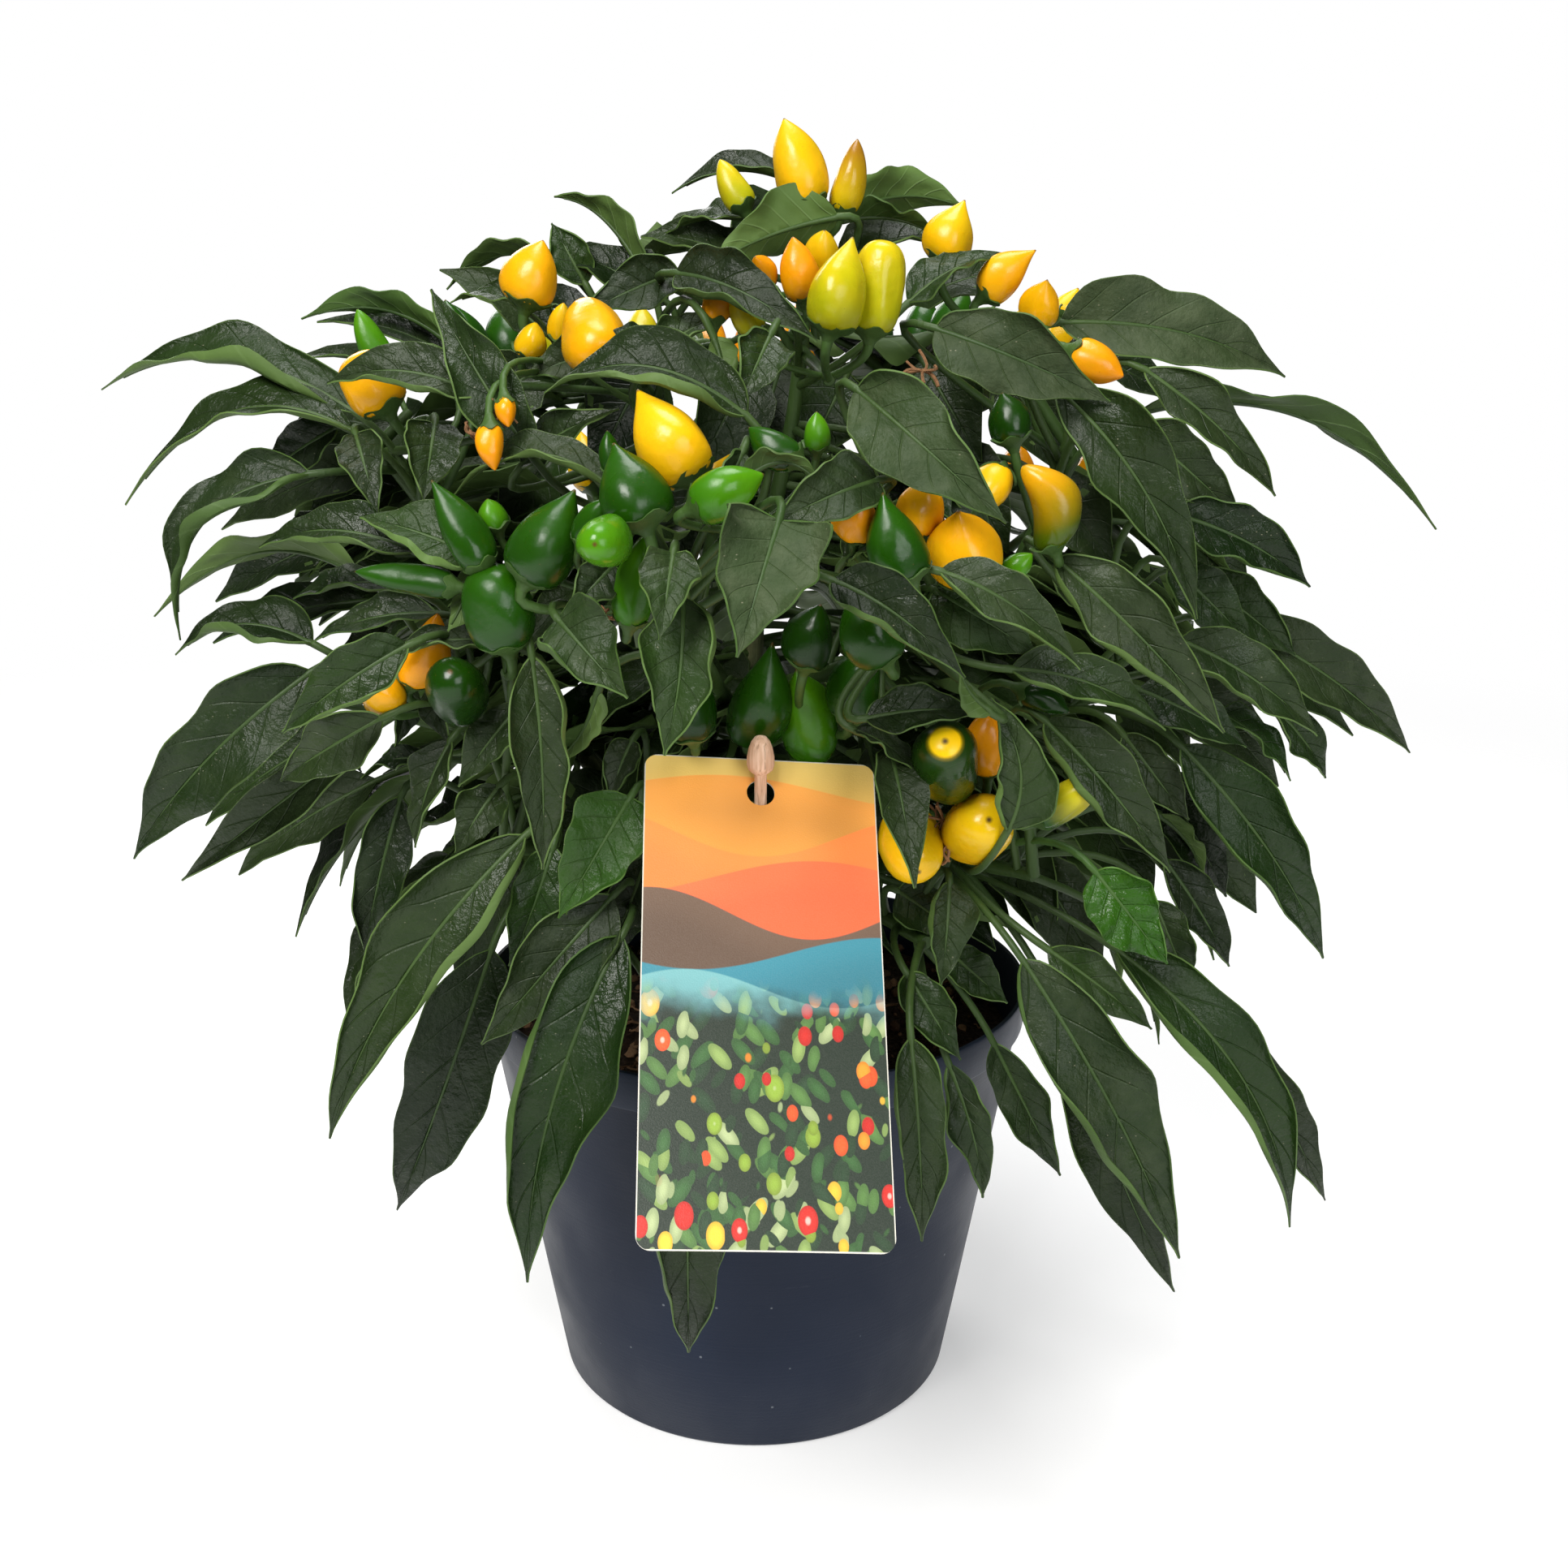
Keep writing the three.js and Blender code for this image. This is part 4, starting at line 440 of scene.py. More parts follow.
def unit(v):
    return v / np.linalg.norm(v)


def to_unit_rows(rows):
    """Each row of vectors scaled to length one."""
    return rows / np.maximum(np.linalg.norm(rows, axis=-1, keepdims=True), 1e-9)


def round_angles(count):
    return 2 * math.pi * np.arange(count) / count


VIEW_POINT = vector(*CAMERA["place"])
# Any direction that no path here runs along, to start the cross directions of a tube from.
ANY_SIDE = vector(0.31, 0.47, 0.83)
# How far along each side of a corner it is cut.
CORNER_CUT = 0.22


def sight_share(forward):
    """How large a thing that far forward is, against one that looks the same size on the mid-plane."""
    return (-VIEW_POINT[1] - forward) / -VIEW_POINT[1]


def from_view(x, z, forward):
    """A place given as it shows against the mid-plane, moved forward along its line of sight."""
    share = sight_share(forward)
    return vector(x * share, -forward, VIEW_POINT[2] + (z - VIEW_POINT[2]) * share)


def on_circle(degrees, radius, z):
    angle = math.radians(degrees)
    return vector(math.cos(angle) * radius, math.sin(angle) * radius, z)


def seeded_draw(seed):
    """The same seeded numbers from 0 to 1 as the part's source draws."""
    mask = 0xFFFFFFFF
    state = [seed & mask]

    def draw():
        state[0] = (state[0] + 0x6D2B79F5) & mask
        t = state[0]
        t = ((t ^ (t >> 15)) * (t | 1)) & mask
        t = ((t + (((t ^ (t >> 7)) * (t | 61)) & mask)) & mask) ^ t
        return ((t ^ (t >> 14)) & mask) / 4294967296

    return draw


def length_at(path, target):
    """How far along a path of points the place lies that is nearest to a target."""
    best_gap, best_at, passed = math.inf, 0.0, 0.0
    for a, b in zip(path, path[1:]):
        span = np.linalg.norm(b - a)
        share = min(1.0, max(0.0, np.dot(target - a, b - a) / span**2))
        gap = np.linalg.norm(target - (a + (b - a) * share))
        if gap < best_gap:
            best_gap, best_at = gap, passed + share * span
        passed += span
    return best_at


def path_length(path):
    return sum(np.linalg.norm(b - a) for a, b in zip(path, path[1:]))


def point_along(path, length):
    left = length
    for a, b in zip(path, path[1:]):
        span = np.linalg.norm(b - a)
        if left <= span:
            return a + (b - a) * left / span
        left -= span
    return path[-1].copy()


def bezier_at(a, b, c, t):
    t = np.asarray(t, float)[:, None]
    return (1 - t) ** 2 * a + 2 * t * (1 - t) * b + t**2 * c


def bezier(a, b, c, steps):
    return bezier_at(a, b, c, np.linspace(0, 1, steps))


def bezier_tangent(a, b, c, t):
    t = np.asarray(t, float)[..., None]
    return to_unit_rows((1 - t) * (b - a) + t * (c - b))


def smoothed(path, rounds=2):
    """A path with its corners cut in rounds, so that it bends softly. Its ends stay."""
    points = [np.asarray(p, float) for p in path]
    for _ in range(rounds):
        cut = [points[0]]
        for a, b in zip(points, points[1:]):
            cut += [a * (1 - CORNER_CUT) + b * CORNER_CUT, a * CORNER_CUT + b * (1 - CORNER_CUT)]
        points = cut + [points[-1]]
    return np.array(points)


def side_frames(points):
    """Two cross directions at each point of a path that turn as little as they can."""
    ahead = np.vstack([points[1:], points[-1:]])
    behind = np.vstack([points[:1], points[:-1]])
    sides, others = [], []
    side = ANY_SIDE
    for direction in to_unit_rows(ahead - behind):
        side = unit(side - direction * np.dot(side, direction))
        sides.append(side)
        others.append(np.cross(direction, side))
    return np.array(sides), np.array(others)


# ---- Meshes ----

def shown(name, data):
    """A new object in the scene with this mesh, light or camera."""
    thing = bpy.data.objects.new(name, data)
    bpy.context.scene.collection.objects.link(thing)
    return thing


class Shape:
    """The vertices, faces, material places, map places and tints of one piece."""

    def __init__(self):
        self.points, self.faces, self.slots, self.places, self.tints = [], [], [], [], []
        self.count = 0

    def add(self, points, faces, slot=0, places=None, tint=PLAIN_TINT):
        """The slot is one place for all faces or a list of them. The tint is one for all or one a point."""
        points = np.asarray(points, float).reshape(-1, 3)
        self.points.append(points)
        self.faces += [tuple(int(i) + self.count for i in face) for face in faces]
        self.slots += slot if isinstance(slot, list) else [slot] * len(faces)
        places = np.zeros((len(points), 2)) if places is None else np.asarray(places)
        self.places.append(places.reshape(-1, 2))
        tint = np.asarray(tint, float)
        self.tints.append(np.tile(tint, (len(points), 1)) if tint.ndim == 1 else tint.reshape(-1, 4))
        self.count += len(points)

    def make(self, name, materials, sharp=50):
        mesh = bpy.data.meshes.new(name)
        mesh.from_pydata((np.vstack(self.points) * SCALE).tolist(), [], self.faces)
        for material in materials:
            mesh.materials.append(material)
        mesh.polygons.foreach_set("material_index", self.slots)
        mesh.polygons.foreach_set("use_smooth", [True] * len(self.faces))
        corners = np.zeros(len(mesh.loops), np.int32)
        mesh.loops.foreach_get("vertex_index", corners)
        layer = mesh.uv_layers.new(name="place")
        layer.data.foreach_set("uv", np.vstack(self.places)[corners].astype(np.float32).ravel())
        tints = mesh.color_attributes.new("tint", "FLOAT_COLOR", "POINT")
        tints.data.foreach_set("color", np.vstack(self.tints).astype(np.float32).ravel())
        mesh.update()
        mesh.set_sharp_from_angle(angle=math.radians(sharp))
        return shown(name, mesh)


def grid_faces(rows, columns, closed=False, first=0, flip=False):
    """Faces of a grid of points. A closed one joins its last column to its first."""
    faces = []
    for i in range(rows - 1):
        for k in range(columns if closed else columns - 1):
            a = first + i * columns + k
            b = first + i * columns + (k + 1) % columns
            face = (a, b, b + columns, a + columns)
            faces.append(face[::-1] if flip else face)
    return faces


def lofted(shape, rings, slot=0, tint=PLAIN_TINT, places=None):
    """Closed rings of points joined in turn, with a face over each end."""
    rows, columns = rings.shape[:2]
    faces = grid_faces(rows, columns, closed=True)
    faces.append(tuple(range(columns))[::-1])
    faces.append(tuple((rows - 1) * columns + k for k in range(columns)))
    shape.add(rings, faces, slot, places, tint)


def tube(shape, points, radii, sides=8, slot=0, tint=PLAIN_TINT):
    """A round tube along a path, with map places in centimetres along it and in turns round it."""
    points = np.asarray(points, float)
    radii = np.broadcast_to(radii, len(points))
    side, other = side_frames(points)
    angle = round_angles(sides)
    rings = points[:, None] + radii[:, None, None] * (
        np.cos(angle)[None, :, None] * side[:, None] + np.sin(angle)[None, :, None] * other[:, None])
    passed = np.concatenate([[0], np.cumsum(np.linalg.norm(np.diff(points, axis=0), axis=1))])
    places = np.stack(np.broadcast_arrays(passed[:, None] / 10, (angle / (2 * math.pi))[None]), -1)
    lofted(shape, rings, slot, tint, places)


def turned(outline, sides):
    """Rings of points that an outline of radius and height gives round the Z axis."""
    angle = round_angles(sides)
    circle = np.stack([np.cos(angle), np.sin(angle), np.zeros(sides)], -1)
    return np.array([circle * r + vector(0, 0, z) for r, z in outline])


# ---- Leaves ----

def blade_profile(u, fullness):
    """The half-width of a blade along its midrib, as a share of the widest place. Its tip is drawn out."""
    widest = fullness / (fullness + LEAF["taper"])
    share = np.clip(u, 0, 1)
    return (share / widest) ** fullness * ((1 - share) / (1 - widest)) ** LEAF["taper"]


def half_section(curl, shares):
    """How far across and above the midrib the places of a half-blade lie, which curls over to its margin."""
    steps = 40
    v = (np.arange(steps) + 0.5) / steps
    outer = np.maximum(0, (v - LEAF["curl_from"]) / (1 - LEAF["curl_from"]))
    angle = LEAF["fold"] + LEAF["curl"] * curl[:, None] * outer**2 * (3 - 2 * outer)
    at = np.arange(steps + 1) / steps
    start = np.zeros((len(curl), 1))
    across = np.hstack([start, np.cumsum(np.cos(angle), 1) / steps])
    above = np.hstack([start, np.cumsum(np.sin(angle), 1) / steps])
    return [np.array([np.interp(shares, at, row) for row in rows]) for rows in (across, above)]


def shape_leaf(base, tip, bow, width, faces, roll, curls, index, look="plain"):
    """A leaf's midrib curve and cross direction, by the same rule as in the part's source."""
    length = np.linalg.norm(tip - base)
    along = unit(tip - base)
    middle = (base + tip) / 2
    side = unit(np.cross(along, unit(faces - middle)))
    face = np.cross(side, along)
    angle = math.radians(roll)
    across = side * math.cos(angle) + face * math.sin(angle)
    upper = face * math.cos(angle) - side * math.sin(angle)
    control = middle + 2 * (bow + upper * length * LEAF["arch"])
    return {"base": base, "tip": tip, "control": control, "start": unit(control - base), "across": across,
            "length": length, "width": width, "curls": curls, "index": index, "look": look,
            "grid": LEAF["grid"]}


def seen_leaf(row, index, look):
    """A leaf from its row in a table. What a row leaves out at its end is 0."""
    x0, z0, f0, x1, z1, f1, width, roll, bow_x, bow_z, *curls = (list(row) + [0] * 4)[:12]
    share = sight_share((f0 + f1) / 2)
    return shape_leaf(from_view(x0, z0, f0), from_view(x1, z1, f1), vector(bow_x * share, 0, bow_z * share),
                      width * share, VIEW_POINT, roll, curls, index, look)


def place_roots(leaves, path):
    """Gives each leaf of a stem its own place along the twig, with the far leaves far out on it."""
    length = path_length(path)
    step = min(TWIG["root_step"], (length - TWIG["bare_foot"]) / len(leaves))
    wished = []
    for leaf in leaves:
        at = length_at(path, leaf["base"] - leaf["start"] * TWIG["reach"] * leaf["length"])
        rank = at + TWIG["outward"] * np.linalg.norm(leaf["base"] - path[0])
        wished.append((rank, at, leaf))
    wished.sort(key=lambda row: -row[0])
    limit = length - TWIG["radius"][1]
    for _, at, leaf in wished:
        place = max(min(at, limit), TWIG["bare_foot"])
        limit = place - step
        axis = point_along(path, place)
        leaf["root"] = axis + unit(leaf["base"] - axis) * TWIG["root_depth"]


def wave(kind, u, sign, index, share=1.0, faster=0.0):
    """One of the waves over a blade, at places along it and on the side that the sign names."""
    strength, pace, by_side, by_leaf = WAVES[kind]
    return strength * share * np.sin((pace + faster) * u + by_side * sign + by_leaf * index)


def curled_halves(leaf, u, sign, size):
    """How far across and above the midrib each place of a blade lies, as shares of its half-width."""
    out, up = np.zeros_like(size), np.zeros_like(size)
    for side, curl in zip((1, -1), leaf["curls"]):
        phase = 3.7 * leaf["index"] + side
        rest = LEAF["rest_curl"] * (0.5 + 0.5 * math.sin(phase))
        waves = (strength * np.sin(pace * u[:, 0] + turns * phase) for strength, pace, turns in CURL_WAVES)
        uneven = sum(waves, 1)
        over, above = half_section(max(curl, rest) * uneven * (1 - LEAF["tip_uncurl"] * u[:, 0]**6), size[0])
        out = np.where(sign == side, side * over, out)
        up = np.where(sign == side, above, up)
    return out, up


def blade_lift(leaf, u, v, half, up):
    """How far each place of a blade lies above its midrib, with its waves, twist, quilting and groove."""
    index, sign, size = leaf["index"], np.sign(v), np.abs(v)
    crinkle = LOOK_TINTS[leaf["look"]][2]
    ripple = wave("wave", u, sign, index) * size**2
    ripple = ripple + wave("frill", u, sign, index, faster=3 * math.sin(index)) * size**2
    ripple = ripple + wave("crinkle", u, sign, index, crinkle) * size**2.5
    twist = LEAF["twist"] * math.sin(2.4 * index) * (u - LEAF["twist_from"]) * v
    veins = np.cos(2 * math.pi * LEAF["veins"] * (u - LEAF["vein_slant"] * size))
    quilt = -LEAF["quilt"] * crinkle * veins * np.sin(math.pi * size) ** 0.7
    for strength, pace, shift, pace_across, shift_across in BLADE_DENTS:
        dents = strength * np.sin(pace * u + shift * index) * np.cos(pace_across * v + shift_across * index)
        quilt = quilt + dents * size
    groove = -LEAF["groove"] * np.exp(-(size * half / LEAF["groove_width"]) ** 2)
    return (up + ripple + twist) * half + (quilt + groove) * np.minimum(1, half / LEAF["relief_from"])


def blade_surface(leaf):
    """A blade's middle surface as a grid of points, the map place of each, its midrib and its upper side."""
    steps_along, steps_across = leaf["grid"]
    power_along, power_across = LEAF["grid_powers"]
    u = (np.linspace(0, 1, steps_along + 1) ** power_along)[:, None]
    shares = np.linspace(0, 1, steps_across + 1) ** power_across
    v = np.concatenate([-shares[:0:-1], shares])[None]
    sign, size = np.sign(v), np.abs(v)
    curve = (leaf["base"], leaf["control"], leaf["tip"], u[:, 0])
    centre, along = bezier_at(*curve), bezier_tangent(*curve)
    across = to_unit_rows(leaf["across"] - along * (along @ leaf["across"])[:, None])
    upper = np.cross(across, along)
    fullness = LOOK_TINTS[leaf["look"]][3]
    least = np.where(u < 0.5, *LEAF["least_half"])
    half = np.maximum(leaf["width"] * blade_profile(u, fullness) / 2, least)
    margin = LEAF["margin"] + wave("margin", u, sign, leaf["index"]) + wave("nicks", u, sign, leaf["index"])
    out, up = curled_halves(leaf, u, sign, size)
    reach = out * half * margin
    lift = blade_lift(leaf, u, v, half, up)
    points = centre[:, None] + across[:, None] * reach[..., None] + upper[:, None] * lift[..., None]
    places = np.stack(np.broadcast_arrays(u, v / 2 + 0.5), -1)
    return points, places, centre, upper


def edge_loop(rows, columns):
    """The numbers of the points round the edge of a grid, in turn."""
    loop = list(range(columns))
    loop += [i * columns + columns - 1 for i in range(1, rows)]
    loop += [(rows - 1) * columns + k for k in range(columns - 2, -1, -1)]
    loop += [i * columns for i in range(rows - 2, 0, -1)]
    return loop


def add_leaf(shape, leaf, draw):
    """A closed blade with upper and lower faces, and a petiole that goes on as the midrib below it."""
    points, places, centre, upper = blade_surface(leaf)
    rows, columns = points.shape[:2]
    normal = to_unit_rows(np.cross(np.gradient(points, axis=1), np.gradient(points, axis=0)))
    half_thickness = LEAF["thickness"] / 2
    top = points + normal * half_thickness
    under = points - normal * half_thickness
    freshness, dust, *_ = LOOK_TINTS[leaf["look"]]
    tint = (draw(), freshness + LEAF["fresh_spread"] * draw() ** 2, dust + LEAF["dust_spread"] * draw(), 1)
    count = rows * columns
    faces = grid_faces(rows, columns)
    below = grid_faces(rows, columns, first=count, flip=True)
    edge = edge_loop(rows, columns)
    below += [(b, a, a + count, b + count) for a, b in zip(edge, edge[1:] + edge[:1])]
    shape.add(np.concatenate([top.reshape(-1, 3), under.reshape(-1, 3)]), faces + below,
              [TOP] * len(faces) + [UNDER] * len(below), np.concatenate([places.reshape(-1, 2)] * 2), tint)
    root, base = leaf["root"], leaf["base"]
    bend = base - leaf["start"] * TWIG["bend"] * np.linalg.norm(root - base)
    stalk = bezier(root, bend, base, 9)
    rib = centre[1:-3] - upper[1:-3] * LEAF["rib_sink"]
    flared = np.linspace(LEAF["petiole_foot"], LEAF["petiole"], 4)
    radii = np.concatenate([flared, np.full(len(stalk) - len(flared), LEAF["petiole"]),
                            np.linspace(*LEAF["rib"], len(rib))])
    tube(shape, np.vstack([stalk, rib]), radii, 8, STALK, (tint[0], freshness, 0, 1))


# ---- Fruits ----

def seen_fruit(row):
    x0, z0, f0, x1, z1, f1, diameter = row
    share = sight_share((f0 + f1) / 2)
    return {"base": from_view(x0, z0, f0), "tip": from_view(x1, z1, f1), "radius": diameter / 2 * share}


def cubic(a, b, c, d, steps):
    t = np.linspace(0, 1, steps)[:, None]
    return (1 - t)**3 * a + 3 * t * (1 - t)**2 * b + 3 * t**2 * (1 - t) * c + t**3 * d


def fruit_profile(form):
    """How far along a fruit each ring lies and its radius there, as shares of the length and the widest."""
    widest, handle, far, breadth, _ = FRUIT_FORMS[form]
    shoulder = cubic(vector(0, 0.3), vector(0, 0.78), vector(widest * 0.4, 1), vector(widest, 1), 9)
    taper = cubic(vector(widest, 1), vector(handle, 1), vector(far, breadth), vector(1, 0.03), 19)
    return np.vstack([shoulder[:-1], taper]).T


def dents_round(row, fruit):
    strength, count, by_turn, wind = row
    angles = count * fruit["angle"] + by_turn * fruit["turn"] + wind * fruit["share"][:, None]
    return strength * np.sin(angles)


def skin_colours(fruit, skin, chance):
    """The colour of each ring of a fruit, ripening to its tip, which has a dry scar."""
    share = fruit["share"]
    low, high = (np.array(colour) for colour in SKINS[skin])
    blend = np.clip((share - 0.2) / 0.65, 0, 1)
    if skin == "tipped":
        blend = np.clip((FRUIT["spot"] - fruit["radius"] * fruit["reach"]) / 0.7, 0, 1) * (share > 0.5)
    colours = low + (high - low) * blend[:, None]
    colours[-1:] = FRUIT["scar"]
    return np.repeat(np.c_[colours, np.full(len(share), chance)][:, None], FRUIT["sides"], 1)


def add_skin(shape, fruit, skin, form, chance):
    """A fruit with softly lobed shoulders and shallow dents."""
    share, angle, turn = fruit["share"], fruit["angle"], fruit["turn"]
    fade = np.sin(math.pi * np.clip(share, 0, 1))[:, None]
    lobes = 1 + FRUIT["lobe"] * np.cos(3 * angle + turn + 0.8 * share[:, None]) * (1 - share[:, None]) ** 0.5
    dents = sum(dents_round(row, fruit) * fade for row in FRUIT_DENTS)
    if form == "blunt":
        dents = dents + dents_round(BLUNT_DENTS, fruit) * fade**2
    way = math.cos(turn) * fruit["side"] + math.sin(turn) * fruit["other"]
    if form == "banana":
        way = unit(vector(1, 0, 0) - fruit["direction"] * fruit["direction"][0])
    bow = FRUIT_FORMS[form][4] * fruit["length"] * fade
    spine = fruit["base"] + share[:, None] * fruit["axis"] + bow * way
    radii = (fruit["radius"] * fruit["reach"])[:, None, None] * (lobes + dents)[..., None]
    places = np.stack(np.broadcast_arrays(share[:, None], (angle / (2 * math.pi))[None]), -1)
    lofted(shape, spine[:, None] + radii * fruit["around"], 0, skin_colours(fruit, skin, chance), places)


def add_calyx(shape, fruit, tint):
    """The calyx with five teeth that hug the fruit, and the fruit's stalk."""
    base, radius, root = fruit["base"], fruit["radius"], fruit["root"]
    start = base - fruit["direction"] * FRUIT["calyx_depth"]
    bend = start - fruit["direction"] * FRUIT["stalk_bend"] * np.linalg.norm(start - root)
    stalk = bezier(root, bend, start, 8)
    width = FRUIT["stalk"] * min(1, 0.5 + radius / 18)
    points = np.vstack([stalk, base - fruit["direction"] * 1.2])
    tube(shape, points, np.linspace(width, width * 1.5, len(points)), 8, 0, tint)
    teeth = 0.5 + 0.5 * np.cos(5 * fruit["angle"] + fruit["turn"])
    rings = []
    for depth, spread, stalks, more, tooth in CALYX:
        lift = width * stalks + more
        along = depth + tooth * teeth
        size = radius * spread * (1 + 0.12 * teeth * tooth) + lift
        surface = np.interp(along / fruit["length"], fruit["share"], fruit["reach"]) * radius
        hug = surface + (CALYX_ABOVE if lift > 0 else -CALYX_BELOW)
        size = np.where(along > CALYX_HUGS_FROM, hug, np.minimum(size, hug + 2))
        rings.append(base + along[:, None] * fruit["direction"] + size[:, None] * fruit["around"])
    lofted(shape, np.array(rings), 0, tint)


def add_fruit(skin_shape, stalk_shape, fruit, draw):
    """A fruit with its calyx and stalk. Its turn round its axis sets where its lobes and teeth lie."""
    skin, _, form = fruit["look"].partition(":")
    form = form or "cone"
    axis = fruit["tip"] - fruit["base"]
    length = np.linalg.norm(axis)
    direction = axis / length
    side = unit(ANY_SIDE - direction * np.dot(ANY_SIDE, direction))
    other = np.cross(direction, side)
    angle = round_angles(FRUIT["sides"])
    around = np.cos(angle)[:, None] * side + np.sin(angle)[:, None] * other
    share, reach = fruit_profile(form)
    fruit = {**fruit, "axis": axis, "length": length, "direction": direction, "side": side, "other": other,
             "angle": angle, "around": around, "share": share, "reach": reach, "turn": WHOLE_TURN * draw()}
    add_skin(skin_shape, fruit, skin, form, draw())
    add_calyx(stalk_shape, fruit, (0.3 + 0.5 * draw(), 0.4, 0, 1))


# ---- Materials ----

class Value:
    """A number in a material's node tree that takes part in plain arithmetic."""

    def __init__(self, paint, socket):
        self.paint, self.socket = paint, socket

    def __add__(self, other):
        return self.paint.math("ADD", self, other)

    def __sub__(self, other):
        return self.paint.math("SUBTRACT", self, other)

    def __rsub__(self, other):
        return self.paint.math("SUBTRACT", other, self)

    def __mul__(self, other):
        return self.paint.math("MULTIPLY", self, other)

    __radd__ = __add__
    __rmul__ = __mul__


class Paint:
    """A material's node tree, with short names for the nodes that are used here."""

    def __init__(self, name, **constants):
        self.material = bpy.data.materials.new(name)
        self.material.use_nodes = True
        self.tree = self.material.node_tree
        self.shader = self.tree.nodes["Principled BSDF"]
        for key, value in constants.items():
            self.shader.inputs[key.replace("_", " ")].default_value = value
        self.place = self.node("ShaderNodeTexCoord").outputs["Object"]

    def node(self, kind, **settings):
        node = self.tree.nodes.new(kind)
        for key, value in settings.items():
            setattr(node, key, value)
        return node

    def put(self, socket, value):
        if isinstance(value, Value):
            value = value.socket
        if isinstance(value, bpy.types.NodeSocket):
            self.tree.links.new(value, socket)
        elif socket.type == "RGBA":
            socket.default_value = (*value, 1)[:4]
        else:
            socket.default_value = value

    def fed(self, node, values, sockets=None):
        """The node with the values put on its sockets in order."""
        for socket, value in zip(sockets or node.inputs, values):
            self.put(socket, value)
        return node

    def math(self, operation, *numbers):
        return Value(self, self.fed(self.node("ShaderNodeMath", operation=operation), numbers).outputs[0])

    def step(self, value, low, high, start=0.0, end=1.0):
        """Runs smoothly from start to end as the value goes from low to high."""
        node = self.node("ShaderNodeMapRange", interpolation_type="SMOOTHSTEP")
        return Value(self, self.fed(node, (value, low, high, start, end)).outputs[0])

    def mix(self, share, a, b, blend="MIX"):
        node = self.node("ShaderNodeMix", data_type="RGBA", blend_type=blend)
        return self.fed(node, (share, a, b), [node.inputs[0], node.inputs[6], node.inputs[7]]).outputs[2]

    def times(self, a, b):
        return self.mix(1.0, a, b, "MULTIPLY")

    def coats(self, base, *layers):
        """A colour with other colours mixed over it in turn, each by its own share."""
        for share, colour in layers:
            base = self.mix(share, base, colour)
        return base

    def by_vector(self, operation, where, amount):
        node = self.node("ShaderNodeVectorMath", operation=operation)
        return self.fed(node, (where, amount)).outputs[0]

    def spread(self, where, stretch):
        where = where or self.place
        return self.by_vector("MULTIPLY", where, stretch) if stretch else where

    def noise(self, scale, detail=3.0, roughness=0.5, where=None, stretch=None):
        node = self.node("ShaderNodeTexNoise")
        self.put(node.inputs["Vector"], self.spread(where, stretch))
        for key, value in (("Scale", scale), ("Detail", detail), ("Roughness", roughness)):
            node.inputs[key].default_value = value
        return Value(self, node.outputs["Fac"])

    def patches(self, scale, detail, low, high):
        """A number that changes softly from place to place between two limits."""
        return self.step(self.noise(scale, detail), 0.3, 0.7, low, high)

    def cells(self, scale, where=None, stretch=None, randomness=1.0):
        """The distance to the nearest of many scattered points, and that point's three random numbers."""
        node = self.node("ShaderNodeTexVoronoi")
        self.put(node.inputs["Vector"], self.spread(where, stretch))
        node.inputs["Scale"].default_value = scale
        node.inputs["Randomness"].default_value = randomness
        return Value(self, node.outputs["Distance"]), *self.parts(node.outputs["Color"])

    def dots(self, scale, edge, middle, chance=(0.86, 0.9), stretch=None):
        """Small round dots at a few of many scattered points, and a random number for each."""
        gap, share, amount, _ = self.cells(scale, None, stretch)
        return self.step(gap, edge, middle) * self.step(share, *chance), amount

    def turned(self, where, degrees):
        node = self.node("ShaderNodeVectorRotate", rotation_type="Z_AXIS")
        self.put(node.inputs["Vector"], where)
        node.inputs["Angle"].default_value = math.radians(degrees)
        return node.outputs[0]

    def split(self, kind, value):
        return [Value(self, socket) for socket in self.fed(self.node(kind), [value]).outputs]

    def parts(self, colour):
        return self.split("ShaderNodeSeparateColor", colour)

    def along_axes(self, place):
        return self.split("ShaderNodeSeparateXYZ", place)

    def map_place(self):
        """The place on a piece: along the midrib and across the blade, or across and up the card."""
        return self.along_axes(self.node("ShaderNodeUVMap", uv_map="place").outputs[0])[:2]

    def blade_place(self):
        """How far along the midrib from 0 to 1, and how far out to the margin from 0 to 1."""
        along, over = self.map_place()
        return along, self.math("ABSOLUTE", (over - 0.5) * 2)

    def height(self):
        """The height above the floor, in metres."""
        return self.along_axes(self.place)[2]

    def flat(self, x, y):
        return self.fed(self.node("ShaderNodeCombineXYZ"), (x, y)).outputs[0]

    def grey(self, value):
        return self.fed(self.node("ShaderNodeCombineColor"), [value] * 3).outputs[0]

    def tint(self):
        return self.node("ShaderNodeAttribute", attribute_name="tint").outputs

    def ramp(self, value, stops, sharp=False):
        node = self.fed(self.node("ShaderNodeValToRGB"), [value])
        node.color_ramp.interpolation = "CONSTANT" if sharp else "LINEAR"
        elements = node.color_ramp.elements
        while len(elements) < len(stops):
            elements.new(0.5)
        for element, (place, colour) in zip(elements, stops):
            element.position = place
            element.color = (*colour, 1)
        return node.outputs[0]

    def finish(self, colour, roughness=None, height=None, depth=0.0005, strength=1.0):
        self.put(self.shader.inputs["Base Color"], colour)
        if roughness is not None:
            self.put(self.shader.inputs["Roughness"], roughness)
        if height is not None:
            bump = self.node("ShaderNodeBump")
            bump.inputs["Distance"].default_value = depth
            bump.inputs["Strength"].default_value = strength
            self.put(bump.inputs["Height"], height)
            self.tree.links.new(bump.outputs[0], self.shader.inputs["Normal"])
        return self.material


